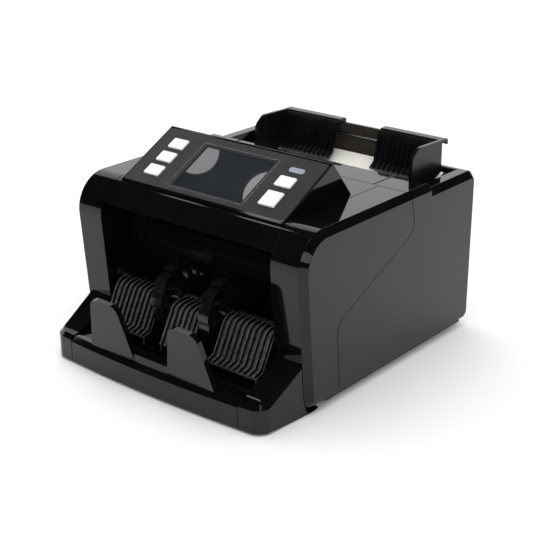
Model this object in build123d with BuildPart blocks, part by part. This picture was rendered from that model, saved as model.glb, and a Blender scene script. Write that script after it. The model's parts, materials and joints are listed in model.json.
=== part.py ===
from build123d import *
import os
from math import atan2, cos, degrees, radians, sin, tan

# A desktop banknote counting machine.  Millimetres; X to the right as a user faces it,
# Y to the rear, Z up.  The feet stand on Z = 0 and the origin is in the middle of the footprint.

os.makedirs("parts", exist_ok=True)

# ---------------------------------------------------------------- driving dimensions
overall_width = 250.0
overall_depth = 296.0
overall_height = 185.0

wall = 3.0                 # moulded covers
sheet = 2.0                # folded steel
seam = 0.6                 # gap between neighbouring covers
slide_gap = 0.4            # gap round anything that slides
edge_chamfer = 5.5         # all round each side cover's outer face
floor_gap = 5.0            # height of the rubber feet
step_drop = 5.0            # the rear half's top lies lower by this much
console_rise = 32.4        # ridge of the sloping console above the top face
column_lean = 5.1          # degrees, front columns lean back towards the floor
nose_radius = 30.0         # big rounded front top edge
rear_radius = 8.5
foot_radius = 11.0
column_width = 32.4        # each front column, across the machine

stop_overhang = 4.5        # the note stops lean out this far past the tray's middle
stop_setback = 4.5         # foot of the note stops, behind the tray's front edge
stop_thickness = 5.0
tray_bow = 3.5             # the tray's front edge bows forward in the middle
rim_bevel = 4.2            # along the tray's front top edge
tray_height = 22.6
tray_bottom = 2.0
arm_top = 47.0             # where the tray's arms meet the columns

shaft_radius = 4.0
bore_gap = 0.05
bush_radius = 8.0
belt_gap = 0.3
belt_thickness = 1.5
belt_width = 7.0

key_travel = 0.8
console_recess = 1.5

# ---------------------------------------------------------------- derived stations
half_width = overall_width / 2
front_y = -overall_depth / 2
rear_y = overall_depth / 2
shell_top = overall_height - console_rise
rear_top = shell_top - step_drop
tray_front = front_y + stop_overhang
column_front = front_y + 48.0          # at the height of nose_z
nose_z = shell_top - 27.6
column_x = half_width - column_width   # inner face of a column
cover_x = column_x - seam              # outer edge of what fits between the side covers
ridge_y = front_y + 132.7
console_front = ridge_y - 62.7
console_back = ridge_y + 25.6
console_half = 88.0
cross_seam = rear_y - 105.0            # seam across the top
step_y = rear_y - 74.0
hopper_back_y = rear_y - 17.0
hopper_half = column_x + 17.4
rail_x = console_half - 0.8            # inner edge of the raised rear rails
frame_x = column_x + wall + 0.4        # inner face of each steel side frame
pan_top = floor_gap + wall
slope = degrees(atan2(console_rise, ridge_y - console_front))

stacker_axis = (front_y + 76.0, 60.0)
exit_axis = (front_y + 128.0, shell_top - 60.6)
pinch_axis = (exit_axis[0], exit_axis[1] + 20.3)
feed_axis = (step_y - 32.0, shell_top - 56.6)
pickup_axis = (step_y + 8.0, shell_top - 45.6)
motor_axis = (feed_axis[0] + 16.0, 45.0)
chute_low = (step_y - 18.0, shell_top - 40.6)
chute_high = (hopper_back_y - 2.0, rear_top - 2.6)


def front_line(z):
    """Y of the front columns' face at height z."""
    return column_front + (nose_z - z) * tan(radians(column_lean))


def chute_z(y):
    """Height of the chute's upper face at y."""
    run = (y - chute_low[0]) / (chute_high[0] - chute_low[0])
    return chute_low[1] + run * (chute_high[1] - chute_low[1])


# ---------------------------------------------------------------- side covers
def side_outline(top, bottom, inset):
    """The machine's outline seen from the side, drawn inset from its edge."""
    with BuildSketch() as outline:
        with BuildLine():
            FilletPolyline(
                (front_line(bottom), bottom),
                (front_line(top), top),
                (rear_y, top),
                (rear_y, bottom),
                radius=[foot_radius, nose_radius, rear_radius, foot_radius],
                close=True,
            )
        make_face()
        if inset > 0:
            offset(amount=-inset)
    return outline.sketch_local


def side_block(x_in, x_out, inset, top, chamfer_size, bottom):
    """One side's outline from x_in out to x_out, with the outer edges chamfered."""
    with BuildPart() as block:
        with BuildSketch(Plane.YZ.offset(x_in)):
            add(side_outline(top, bottom, inset))
        extrude(amount=x_out - x_in)
        chamfer(block.faces().sort_by(Axis.X)[-1].edges(), chamfer_size)
    return block.part


inner_chamfer = edge_chamfer - wall * (2 - 2**0.5)
seam_points = [
    (cross_seam - 0.5, shell_top + 1.0),
    (cross_seam + 7.5, shell_top - 33.4),
    (front_y + 92.0, 69.9),
    (front_y + 97.5, floor_gap - 1.0),
]


def seam_region(in_front):
    """The prism in front of, or behind, the S-shaped seam down each side."""
    shift = -seam / 2 if in_front else seam / 2
    far_y = front_y - 10.0 if in_front else rear_y + 10.0
    path = [(y + shift, z) for y, z in seam_points]
    with BuildPart() as region:
        with BuildSketch(Plane.YZ.offset(0)):
            with BuildLine():
                curve = FilletPolyline(*path, radius=13.0)
                Polyline(curve @ 1, (far_y, path[-1][1]), (far_y, path[0][1]), curve @ 0)
            make_face()
        extrude(amount=half_width + 1)
    return region.part


column_depth = 36.0
open_from = column_front + column_depth

with BuildPart() as right_front_cover:
    add(side_block(column_x, half_width, 0, shell_top, edge_chamfer, floor_gap))
    add(
        side_block(column_x + wall, half_width - wall, wall, shell_top, inner_chamfer, -20.0),
        mode=Mode.SUBTRACT,
    )
    with BuildSketch(Plane.XY.offset(-1)):
        with Locations((column_x, open_from)):
            Rectangle(2 * wall + 0.2, overall_depth, align=(Align.CENTER, Align.MIN))
    extrude(amount=shell_top - wall + 1, mode=Mode.SUBTRACT)
    # the stacker shaft comes in through a slot in the column's inner wall
    with BuildSketch(Plane.YZ.offset(column_x - 1)):
        with Locations((stacker_axis[0] - bush_radius - 3.0, stacker_axis[1])):
            Rectangle(column_depth, 2 * bush_radius + 6.0, align=(Align.MIN, Align.CENTER))
    extrude(amount=wall + 2, mode=Mode.SUBTRACT)
    add(seam_region(True), mode=Mode.INTERSECT)

with BuildPart() as right_rear_cover:
    add(side_block(column_x, half_width, 0, rear_top, edge_chamfer, floor_gap))
    with BuildPart(mode=Mode.PRIVATE) as raised_half:
        add(side_block(column_x, half_width, 0, shell_top, edge_chamfer, floor_gap))
        with BuildSketch(Plane.XZ.offset(-step_y)):
            with Locations((0, -1)):
                Rectangle(overall_width, overall_height, align=(Align.MIN, Align.MIN))
        extrude(amount=overall_depth, mode=Mode.INTERSECT)
    add(raised_half.part)
    with BuildPart(mode=Mode.PRIVATE) as raised_space:
        add(side_block(column_x + wall, half_width - wall, wall, shell_top, inner_chamfer, -20.0))
        with BuildSketch(Plane.XZ.offset(-(step_y - wall))):
            with Locations((0, -20)):
                Rectangle(overall_width, 2 * overall_height, align=(Align.MIN, Align.MIN))
        extrude(amount=overall_depth, mode=Mode.INTERSECT)
    add(
        side_block(column_x + wall, half_width - wall, wall, rear_top, inner_chamfer, -20.0),
        mode=Mode.SUBTRACT,
    )
    add(raised_space.part, mode=Mode.SUBTRACT)
    with BuildSketch(Plane.XY.offset(-1)):
        with Locations((column_x, front_y)):
            Rectangle(2 * wall + 0.2, overall_depth * 0.9, align=(Align.CENTER, Align.MIN))
    extrude(amount=rear_top - wall + 1, mode=Mode.SUBTRACT)
    with BuildSketch(Plane.XY.offset(rear_top - wall - 1)):
        with Locations((rail_x, cross_seam - 20)):
            Rectangle(column_x - rail_x + 1, step_y - cross_seam + 20, align=Align.MIN)
    extrude(amount=wall + step_drop + 1)
    with BuildSketch(Plane.XY.offset(-1)):
        with Locations((rail_x - 1, cross_seam - 21)):
            Rectangle(column_x - rail_x + 4, step_y - cross_seam + 22, align=Align.MIN)
    extrude(amount=shell_top - wall + 1, mode=Mode.SUBTRACT)
    with BuildSketch(Plane.XY.offset(-1)):
        with Locations((0, step_y)):
            Rectangle(hopper_half, hopper_back_y + 6.0 - step_y, align=Align.MIN)
    extrude(amount=overall_height, mode=Mode.SUBTRACT)
    with BuildSketch(Plane.XY.offset(chute_high[1] - 26.0)):
        with Locations((hopper_half, step_y)):
            Rectangle(wall - 0.5, hopper_back_y + 6.0 - step_y, align=Align.MIN)
    extrude(until=Until.NEXT)
    add(seam_region(False), mode=Mode.INTERSECT)

right_front_cover.part.label = "right_front_cover"
export_step(right_front_cover.part, "parts/right_front_cover.step")
right_rear_cover.part.label = "right_rear_cover"
export_step(right_rear_cover.part, "parts/right_rear_cover.step")

with BuildPart() as left_front_cover:
    mirror(right_front_cover.part, about=Plane.YZ)
left_front_cover.part.label = "left_front_cover"
export_step(left_front_cover.part, "parts/left_front_cover.step")

with BuildPart() as left_rear_cover:
    mirror(right_rear_cover.part, about=Plane.YZ)
left_rear_cover.part.label = "left_rear_cover"
export_step(left_rear_cover.part, "parts/left_rear_cover.step")

# ---------------------------------------------------------------- the sloping console
# console_plane lies in the console's face: its origin is the middle of the ridge, local +Y climbs
# the slope and +Z is the outward normal, so "down the slope by s" is local y = -s.
console_plane = Plane(
    origin=(0, ridge_y, overall_height),
    x_dir=(1, 0, 0),
    z_dir=(0, -sin(radians(slope)), cos(radians(slope))),
)
slope_length = (ridge_y - console_front) / cos(radians(slope))
screen_x, screen_s = 1.0, 38.0
screen_frame = (82.0, 55.0)
screen_opening = (74.0, 49.5)
key_size = (16.4, 11.4)
start_size = (16.0, 16.0)
lamp_size = (15.2, 5.4)
key_centres = {
    "left_upper_key": (-63.5, 19.5),
    "left_middle_key": (-63.5, 36.4),
    "left_lower_key": (-63.5, 53.3),
    "right_upper_key": (62.0, 31.5),
    "start_key": (62.0, 51.6),
}
lamp_centre = (63.0, 16.7)


def size_of(key_name):
    """Outline of one key's cap."""
    return start_size if key_name == "start_key" else key_size


def wedge_outline(low_z):
    """Corner points of the console's cross-section, carried down to low_z."""
    front_run = (ridge_y - console_front) / console_rise
    back_run = (console_back - ridge_y) / console_rise
    drop = overall_height - low_z
    return [
        (ridge_y - drop * front_run, low_z),
        (ridge_y, overall_height),
        (ridge_y + drop * back_run, low_z),
    ]


fascia_bottom = shell_top - 18.1
panel_half = console_half - 1.5
panel_ends = (2.4, slope_length - 0.6)

with BuildPart() as front_cover:
    with BuildSketch(Plane.YZ.offset(-cover_x)):
        add(side_outline(shell_top, floor_gap, 0))
        add(side_outline(shell_top, floor_gap, wall), mode=Mode.SUBTRACT)
        with Locations((front_y, fascia_bottom)):
            Rectangle(
                cross_seam - seam / 2 - front_y,
                overall_height,
                align=Align.MIN,
                mode=Mode.INTERSECT,
            )
    extrude(amount=2 * cover_x)
    with BuildSketch(Plane.YZ.offset(-console_half)):
        with BuildLine():
            Polyline(*wedge_outline(shell_top - 1.0), close=True)
        make_face()
    extrude(amount=2 * console_half)
    ridge_edges = front_cover.edges().filter_by(Axis.X).group_by(Axis.Z)[-1]
    side_edges = front_cover.edges().filter_by(Plane.YZ).filter_by(
        lambda e: e.center().Z > shell_top + 4 and abs(abs(e.center().X) - console_half) < 0.1
    )
    fillet(ridge_edges + side_edges, radius=1.2)
    with BuildSketch(Plane.YZ.offset(-(console_half - wall))):
        with BuildLine():
            Polyline(*wedge_outline(shell_top - 40.0), close=True)
        make_face()
        offset(amount=-wall)
        with Locations((front_y, shell_top - wall - 1.5)):
            Rectangle(overall_depth, overall_height, align=Align.MIN, mode=Mode.INTERSECT)
    extrude(amount=2 * (console_half - wall), mode=Mode.SUBTRACT)
    # seat for the satin panel, then the openings under it
    with BuildSketch(console_plane.offset(-console_recess)):
        with Locations((0, -sum(panel_ends) / 2)):
            RectangleRounded(2 * panel_half, panel_ends[1] - panel_ends[0], 3.0)
    extrude(amount=console_recess + 2.0, mode=Mode.SUBTRACT)
    with BuildSketch(console_plane.offset(-wall - 1.0)):
        with Locations((screen_x, -screen_s)):
            Rectangle(screen_opening[0] + 4.2, screen_opening[1] + 3.2)
        for key_name, (x, s) in key_centres.items():
            with Locations((x, -s)):
                Rectangle(size_of(key_name)[0] + 3.0, size_of(key_name)[1] + 3.0)
        with Locations((lamp_centre[0], -lamp_centre[1])):
            Rectangle(lamp_size[0] - 2.0, lamp_size[1] - 2.0)
    extrude(amount=wall + 1.0, mode=Mode.SUBTRACT)

front_cover.part.label = "front_cover"
export_step(front_cover.part, "parts/front_cover.step")

panel_thickness = console_recess - 0.1

with BuildPart() as display_panel:
    with BuildSketch(console_plane.offset(-console_recess)):
        with Locations((0, -sum(panel_ends) / 2)):
            RectangleRounded(
                2 * (panel_half - 0.2), panel_ends[1] - panel_ends[0] - slide_gap, 2.8
            )
        with Locations((screen_x, -screen_s)):
            RectangleRounded(screen_frame[0], screen_frame[1], 4.0, mode=Mode.SUBTRACT)
        for key_name, (x, s) in key_centres.items():
            with Locations((x, -s)):
                RectangleRounded(
                    size_of(key_name)[0] + slide_gap,
                    size_of(key_name)[1] + slide_gap,
                    1.2,
                    mode=Mode.SUBTRACT,
                )
        with Locations((lamp_centre[0], -lamp_centre[1])):
            RectangleRounded(
                lamp_size[0] + slide_gap, lamp_size[1] + slide_gap, 2.8, mode=Mode.SUBTRACT
            )
    extrude(amount=panel_thickness)
display_panel.part.label = "display_panel"
export_step(display_panel.part, "parts/display_panel.step")

with BuildPart() as screen_bezel:
    with BuildSketch(console_plane.offset(-console_recess)):
        with Locations((screen_x, -screen_s)):
            RectangleRounded(screen_frame[0] - slide_gap, screen_frame[1] - slide_gap, 3.8)
    extrude(amount=panel_thickness - 0.1)
    with BuildSketch(console_plane.offset(-console_recess)):
        with Locations((screen_x, -screen_s)):
            Rectangle(*screen_opening)
    extrude(amount=console_recess, mode=Mode.SUBTRACT)
    inner_rim = screen_bezel.faces().sort_by(
        lambda f: f.center().dot(console_plane.z_dir)
    )[-1].inner_wires()[0].edges()
    chamfer(inner_rim, 1.0)
screen_bezel.part.label = "screen_bezel"
export_step(screen_bezel.part, "parts/screen_bezel.step")

window_thickness = wall - console_recess - 0.1

with BuildPart() as screen_window:
    with BuildSketch(console_plane.offset(-wall)):
        with Locations((screen_x, -screen_s)):
            Rectangle(screen_opening[0] + 3.6, screen_opening[1] + 2.6)
    extrude(amount=window_thickness)
screen_window.part.label = "screen_window"
export_step(screen_window.part, "parts/screen_window.step")

module_depth = 4.0

with BuildPart() as indicator_window:
    with BuildSketch(console_plane.offset(-console_recess)):
        with Locations((lamp_centre[0], -lamp_centre[1])):
            RectangleRounded(*lamp_size, 2.6)
    extrude(amount=console_recess)
    with BuildSketch(console_plane.offset(-wall)):
        with Locations((lamp_centre[0], -lamp_centre[1])):
            Rectangle(lamp_size[0] - 2.4, lamp_size[1] - 2.4)
    extrude(amount=wall - console_recess)
indicator_window.part.label = "indicator_window"
export_step(indicator_window.part, "parts/indicator_window.step")

board_level = -wall - 0.3 - module_depth - 1.6
switch_height = 1.1
key_rise = 1.4
key_lip = 1.0
stem_end = board_level + 1.6 + switch_height + key_travel + 0.1

with BuildPart() as display_board:
    with BuildSketch(console_plane.offset(board_level)):
        with Locations((0, -slope_length / 2 - 1.0)):
            Rectangle(2 * panel_half - 8.0, slope_length - 17.0)
    extrude(amount=1.6)
    with BuildSketch(console_plane.offset(board_level + 1.6)):
        with Locations((screen_x, -screen_s)):
            Rectangle(screen_opening[0] + 8.0, screen_opening[1] + 2.0)
    extrude(amount=module_depth + 0.2)
    with BuildSketch(console_plane.offset(board_level + 1.6)):
        for x, s in key_centres.values():
            with Locations((x, -s)):
                Rectangle(6.0, 6.0)
    extrude(amount=switch_height)
    with BuildSketch(console_plane.offset(board_level + 1.6)):
        with Locations((lamp_centre[0], -lamp_centre[1])):
            Rectangle(5.0, 3.0)
    extrude(amount=2.0)
display_board.part.label = "display_board"
export_step(display_board.part, "parts/display_board.step")

for key_name, (x, s) in key_centres.items():
    with BuildPart() as key:
        with BuildSketch(console_plane.offset(-console_recess - 0.9)):
            with Locations((x, -s)):
                RectangleRounded(*size_of(key_name), 1.0)
        extrude(amount=console_recess + 0.9 + key_rise)
        cap_face = key.faces().sort_by(lambda f: f.center().dot(console_plane.z_dir))[-1]
        fillet(cap_face.edges(), radius=0.6)
        with BuildSketch(console_plane.offset(-console_recess - 0.9 - 0.5)):
            with Locations((x, -s)):
                Rectangle(size_of(key_name)[0] + 2 * key_lip, size_of(key_name)[1] + 2 * key_lip)
        extrude(amount=1.2)
        with BuildSketch(console_plane.offset(stem_end)):
            with Locations((x, -s)):
                Circle(2.2)
        extrude(amount=-console_recess - 1.0 - stem_end)
    key.part.label = key_name
    export_step(key.part, f"parts/{key_name}.step")

# ---------------------------------------------------------------- centre top plate
with BuildPart() as top_plate:
    with BuildSketch(Plane.XY.offset(shell_top - wall)):
        with Locations((0, (cross_seam + seam / 2 + step_y + 1.5) / 2)):
            RectangleRounded(
                2 * (rail_x - 1.0), step_y + 1.5 - cross_seam - seam / 2, 1.5
            )
    extrude(amount=wall - 0.4)
    back_edge = top_plate.edges().filter_by(Axis.X).sort_by(Axis.Y)[-2:].sort_by(Axis.Z)[-1]
    chamfer(back_edge, 1.0)
top_plate.part.label = "top_plate"
export_step(top_plate.part, "parts/top_plate.step")

# ---------------------------------------------------------------- base pan
pan_half = half_width - wall - 0.5
pan_front = open_from + slide_gap
pan_rear = rear_y - 11.0
foot_spots = [
    (x, y) for x in (-(half_width - 25), half_width - 25) for y in (front_y + 108, rear_y - 28)
]
pan_screw_spots = [
    (x, y) for x in (-(half_width - 55), half_width - 55) for y in (front_y + 90, rear_y - 26)
]
vent_count = 9

with BuildPart() as base_pan:
    with BuildSketch(Plane.XY.offset(floor_gap)):
        with Locations((0, (pan_front + pan_rear) / 2)):
            Rectangle(2 * pan_half, pan_rear - pan_front)
    extrude(amount=wall)
    with BuildSketch(Plane.XY.offset(pan_top)):
        for side in (-1, 1):
            with Locations((side * (pan_half - 1.25), (pan_front + pan_rear) / 2)):
                Rectangle(2.5, pan_rear - pan_front - 30.0)
    extrude(amount=6.0)
    with BuildSketch(Plane.XY.offset(floor_gap)):
        with Locations((0, (step_y + feed_axis[0]) / 2)):
            with GridLocations(7.0, 1.0, vent_count, 1):
                SlotOverall(34.0, 3.0, rotation=90)
    extrude(amount=wall, mode=Mode.SUBTRACT)
    with BuildSketch(Plane.XY.offset(floor_gap)):
        with Locations(*pan_screw_spots):
            Circle(1.6)
    extrude(amount=wall, mode=Mode.SUBTRACT)
base_pan.part.label = "base_pan"
export_step(base_pan.part, "parts/base_pan.step")

with BuildPart() as feet:
    with Locations(*[(x, y, 0) for x, y in foot_spots]):
        Cone(7.2, 8.0, floor_gap, align=(Align.CENTER, Align.CENTER, Align.MIN))
feet.part.label = "feet"
export_step(feet.part, "parts/feet.step")

# ---------------------------------------------------------------- front tray
tray_seam_x = column_x + 1.1
tray_top = tray_bottom + tray_height
tray_rear = pan_front + 8.0
floor_sheet = floor_gap - tray_bottom
bed_front = (tray_front + 7.5, tray_top - 3.4)
bed_back = (tray_front + 33.5, tray_top + 4.6)


def tray_plan(depth):
    """The tray's plan outline with its bowed front edge moved back by depth."""
    with BuildSketch(Plane.XY.offset(tray_bottom)) as plan:
        with BuildLine():
            ThreePointArc(
                (-tray_seam_x + seam, tray_front + tray_bow + depth),
                (0, tray_front + depth),
                (tray_seam_x - seam, tray_front + tray_bow + depth),
            )
            Polyline(
                (tray_seam_x - seam, tray_front + tray_bow + depth),
                (tray_seam_x - seam, tray_rear),
                (-tray_seam_x + seam, tray_rear),
                (-tray_seam_x + seam, tray_front + tray_bow + depth),
            )
        make_face()
    return plan.sketch


with BuildPart() as front_tray:
    add(tray_plan(0))
    extrude(amount=tray_height)
    chamfer(front_tray.faces().sort_by(Axis.Y)[0].edges().sort_by(Axis.Z)[-1], rim_bevel)
    with BuildPart(mode=Mode.PRIVATE) as above_bed:
        add(tray_plan(stop_setback + stop_thickness))
        extrude(amount=tray_height + 20)
        with BuildSketch(Plane.YZ.offset(-half_width)):
            with BuildLine():
                Polyline(
                    (tray_front - 5, bed_front[1]),
                    bed_front,
                    bed_back,
                    (bed_back[0], tray_bottom + floor_sheet),
                    (tray_rear + 5, tray_bottom + floor_sheet),
                    (tray_rear + 5, tray_top + 30),
                    (tray_front - 5, tray_top + 30),
                    close=True,
                )
            make_face()
        extrude(amount=overall_width, mode=Mode.INTERSECT)
    add(above_bed.part, mode=Mode.SUBTRACT)
    with BuildPart(mode=Mode.PRIVATE) as below_bed:
        add(tray_plan(wall))
        extrude(amount=tray_height + 20)
        with BuildSketch(Plane.YZ.offset(-half_width)):
            with BuildLine():
                Polyline(
                    (tray_front - 5, bed_front[1] - 2.4),
                    (bed_front[0], bed_front[1] - 2.4),
                    (bed_back[0] - 2.0, bed_back[1] - 3.0),
                    (bed_back[0] - 2.0, tray_bottom + floor_sheet),
                    (tray_front - 5, tray_bottom + floor_sheet),
                    close=True,
                )
            make_face()
        extrude(amount=overall_width, mode=Mode.INTERSECT)
    add(below_bed.part, mode=Mode.SUBTRACT)
    with BuildSketch(Plane.XY.offset(tray_bottom)):
        with Locations(*[spot for spot in pan_screw_spots if spot[1] < 0]):
            Circle(3.1)
    extrude(amount=floor_sheet, mode=Mode.SUBTRACT)
front_tray.part.label = "front_tray"
export_step(front_tray.part, "parts/front_tray.step")

# ---------------------------------------------------------------- tray arms
arm_in = tray_seam_x
arm_out = half_width - edge_chamfer + 1.0
arm_rear = front_y + 75.0
foot_centre = (front_line(floor_gap + foot_radius) + foot_radius, floor_gap + foot_radius)

with BuildPart() as right_tray_arm:
    with BuildSketch(Plane.YZ.offset(arm_in)):
        with BuildLine():
            Polyline(
                (tray_front + 1.0, tray_bottom),
                (tray_front + 1.0, tray_top),
                (tray_front + 13.0, tray_top + 1.4),
                (tray_front + 18.0, tray_top + 4.0),
                (front_line(arm_top) - seam, arm_top),
                *[
                    (
                        foot_centre[0] - (foot_radius + seam) * cos(radians(angle)),
                        foot_centre[1] - (foot_radius + seam) * sin(radians(angle)),
                    )
                    for angle in (5, 30, 60, 90)
                ],
                (arm_rear, floor_gap - seam),
                (arm_rear, tray_bottom),
                close=True,
            )
        make_face()
    extrude(amount=arm_out - arm_in)
    with BuildSketch(Plane.XY):
        with BuildLine():
            FilletPolyline(
                (arm_in - 1, tray_front + tray_bow - 0.1),
                (arm_out - 4.4, tray_front + tray_bow + 1.6),
                (arm_out, arm_rear + 1),
                radius=13.0,
            )
            Polyline(
                (arm_out, arm_rear + 1),
                (arm_in - 1, arm_rear + 1),
                (arm_in - 1, tray_front + tray_bow - 0.1),
            )
        make_face()
    extrude(amount=arm_top + 1, mode=Mode.INTERSECT)
    with BuildSketch(Plane.YZ.offset(arm_in + wall)):
        with BuildLine():
            Polyline(
                (tray_front + tray_bow + 8.0, tray_bottom - 1),
                (tray_front + tray_bow + 8.0, tray_top - 3.0),
                (tray_front + 20.0, tray_top - 1.0),
                (front_line(arm_top) - 5.0, arm_top - 5.0),
                (front_line(12.0) - 5.0, tray_bottom - 1),
                close=True,
            )
        make_face()
    extrude(amount=arm_out - arm_in - 2 * wall - 2.0, mode=Mode.SUBTRACT)
right_tray_arm.part.label = "right_tray_arm"
export_step(right_tray_arm.part, "parts/right_tray_arm.step")

with BuildPart() as left_tray_arm:
    mirror(right_tray_arm.part, about=Plane.YZ)
left_tray_arm.part.label = "left_tray_arm"
export_step(left_tray_arm.part, "parts/left_tray_arm.step")

# ---------------------------------------------------------------- note stops
stop_base_half = 25.0
stop_top_half = 14.5
stop_height = 41.5
stop_centre_x = 43.5
wall_rise = 6.6
stop_lean = 11.0
stop_corner_radius = 8.0
stop_length = stop_height + wall_rise
stop_plane = Plane(
    origin=(0, front_y + stop_length * sin(radians(stop_lean)), tray_top),
    x_dir=(1, 0, 0),
    z_dir=(0, -cos(radians(stop_lean)), -sin(radians(stop_lean))),
)

with BuildPart() as note_stops:
    with BuildPart(mode=Mode.PRIVATE) as behind_wall:
        add(tray_plan(stop_setback + stop_thickness))
        extrude(amount=overall_height)
    with BuildPart(mode=Mode.PRIVATE) as low_wall:
        add(tray_plan(stop_setback))
        extrude(amount=tray_height + wall_rise)
        add(behind_wall.part, mode=Mode.SUBTRACT)
        with BuildSketch(Plane.XY):
            Rectangle(2 * (stop_centre_x + stop_base_half), 2 * overall_depth)
        extrude(amount=overall_height, mode=Mode.INTERSECT)
    add(low_wall.part)
    for side in (-1, 1):
        with BuildSketch(stop_plane.offset(-stop_thickness)):
            with BuildLine():
                FilletPolyline(
                    (side * stop_centre_x - stop_base_half, 0),
                    (side * stop_centre_x - stop_top_half, stop_length),
                    (side * stop_centre_x + stop_top_half, stop_length),
                    (side * stop_centre_x + stop_base_half, 0),
                    radius=stop_corner_radius,
                )
                Line(
                    (side * stop_centre_x + stop_base_half, 0),
                    (side * stop_centre_x - stop_base_half, 0),
                )
            make_face()
        extrude(amount=stop_thickness)
    with BuildSketch(Plane.XY.offset(tray_top)):
        Rectangle(overall_width, 2 * overall_depth)
    extrude(amount=overall_height, mode=Mode.INTERSECT)
note_stops.part.label = "note_stops"
export_step(note_stops.part, "parts/note_stops.step")

# ---------------------------------------------------------------- stacker combs
rib_pitch = 5.4
rib_thickness = 1.8
wheel_x = 26.0
wheel_radius = 31.0
wheel_width = 12.0
comb_plate = 2.0
comb_radius = 6.0
comb_slope = 62.0
comb_layout = {
    "left_comb": (-(wheel_x + 9.0 + 26.5), 53.0, 0.0),
    "centre_comb": (0.0, 34.0, -7.0),
    "right_comb": (wheel_x + 9.0 + 26.5, 53.0, 0.0),
}


rib_height = 4.6
comb_rise = 28.0
comb_back = stacker_axis[0] - shaft_radius - 2.0


def comb_curve(shift):
    """Side profile of a comb's face: the bed, the steep back and the lip curling to the rear."""
    foot = (bed_back[0], bed_back[1])
    knee = (bed_back[0] + 9.0 + shift, bed_back[1] + 2.5)
    crown = (knee[0] + comb_rise / tan(radians(comb_slope)), knee[1] + comb_rise)
    return [foot, knee, crown, (comb_back, crown[1] + 0.5)]


for comb_name, (centre, width, shift) in comb_layout.items():
    with BuildPart() as comb:
        with BuildSketch(Plane.YZ.offset(centre - width / 2)):
            with BuildLine():
                face_line = FilletPolyline(*comb_curve(shift), radius=comb_radius)
                offset(face_line, amount=comb_plate, side=Side.LEFT)
            make_face()
        extrude(amount=width)
        rib_count = int((width - rib_thickness) // rib_pitch) + 1
        for index in range(rib_count):
            x = centre + (index - (rib_count - 1) / 2) * rib_pitch
            with BuildSketch(Plane.YZ.offset(x - rib_thickness / 2)):
                with BuildLine():
                    rib_line = FilletPolyline(*comb_curve(shift), radius=comb_radius)
                    offset(rib_line, amount=rib_height, side=Side.LEFT)
                make_face()
            extrude(amount=rib_thickness)
        for x in (centre - width / 2, centre + width / 2 - comb_plate):
            with BuildSketch(Plane.YZ.offset(x)):
                with BuildLine():
                    cheek_line = FilletPolyline(*comb_curve(shift), radius=comb_radius)
                    Polyline(
                        cheek_line @ 1,
                        (comb_back, floor_gap),
                        (bed_back[0], floor_gap),
                        cheek_line @ 0,
                    )
                make_face()
            extrude(amount=comb_plate)
    comb.part.label = comb_name
    export_step(comb.part, f"parts/{comb_name}.step")

# ---------------------------------------------------------------- steel side frames
frame_front = front_y + 62.0
frame_rear = hopper_back_y - 1.0
frame_foot = pan_top + 1.0
shaft_axes = {
    "stacker": stacker_axis,
    "exit": exit_axis,
    "pinch": pinch_axis,
    "feed": feed_axis,
    "pickup": pickup_axis,
}
rod_spots = [
    (frame_front + 42.0, 20.0),
    (feed_axis[0] - 26.0, 46.0),
    (frame_rear - 14.0, 62.0),
    (frame_rear - 14.0, chute_high[1] - 22.0),
]
rod_radius = 3.0
motor_boss = 6.0


def frame_plate(x_in):
    """One side frame with its shaft bush holes and tie rod holes."""
    with BuildPart() as plate:
        with BuildSketch(Plane.YZ.offset(x_in)):
            with BuildLine():
                Polyline(
                    (frame_front, frame_foot),
                    (frame_front, stacker_axis[1] + 16.0),
                    (exit_axis[0] - 24.0, fascia_bottom - 12.0),
                    (console_front + 14.0, shell_top - wall - 6.0),
                    (cross_seam - 6.0, shell_top - wall - 6.0),
                    (cross_seam + 2.0, shell_top - 24.0),
                    (chute_low[0] + 2.0, chute_low[1] - 6.0),
                    (frame_rear, chute_z(frame_rear) - 6.0),
                    (frame_rear, frame_foot),
                    close=True,
                )
            make_face()
            with Locations(*shaft_axes.values()):
                Circle(bush_radius, mode=Mode.SUBTRACT)
            with Locations(*rod_spots):
                Circle(rod_radius - 1.0, mode=Mode.SUBTRACT)
            with Locations(motor_axis):
                Circle(motor_boss + bore_gap, mode=Mode.SUBTRACT)
        extrude(amount=sheet)
    return plate.part


with BuildPart() as right_side_frame:
    add(frame_plate(frame_x))
right_side_frame.part.label = "right_side_frame"
export_step(right_side_frame.part, "parts/right_side_frame.step")

with BuildPart() as left_side_frame:
    mirror(right_side_frame.part, about=Plane.YZ)
left_side_frame.part.label = "left_side_frame"
export_step(left_side_frame.part, "parts/left_side_frame.step")

with BuildPart() as tie_rods:
    for y, z in rod_spots:
        with BuildSketch(Plane.YZ.offset(-frame_x)):
            with Locations((y, z)):
                Circle(rod_radius)
        extrude(amount=2 * frame_x)
        with BuildSketch(Plane.YZ.offset(-frame_x - sheet)):
            with Locations((y, z)):
                Circle(rod_radius - 1.0)
        extrude(amount=2 * (frame_x + sheet))
tie_rods.part.label = "tie_rods"
export_step(tie_rods.part, "parts/tie_rods.step")

with BuildPart() as shaft_bushes:
    for y, z in shaft_axes.values():
        for side in (-1, 1):
            with BuildSketch(Plane.YZ.offset(side * frame_x if side > 0 else -frame_x - sheet)):
                with Locations((y, z)):
                    Circle(bush_radius)
                    Circle(shaft_radius + bore_gap, mode=Mode.SUBTRACT)
            extrude(amount=sheet)
            with BuildSketch(Plane.YZ.offset(side * (frame_x + sheet))):
                with Locations((y, z)):
                    Circle(bush_radius + 1.5)
                    Circle(shaft_radius + bore_gap, mode=Mode.SUBTRACT)
            extrude(amount=side * 1.2)
shaft_bushes.part.label = "shaft_bushes"
export_step(shaft_bushes.part, "parts/shaft_bushes.step")

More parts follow.
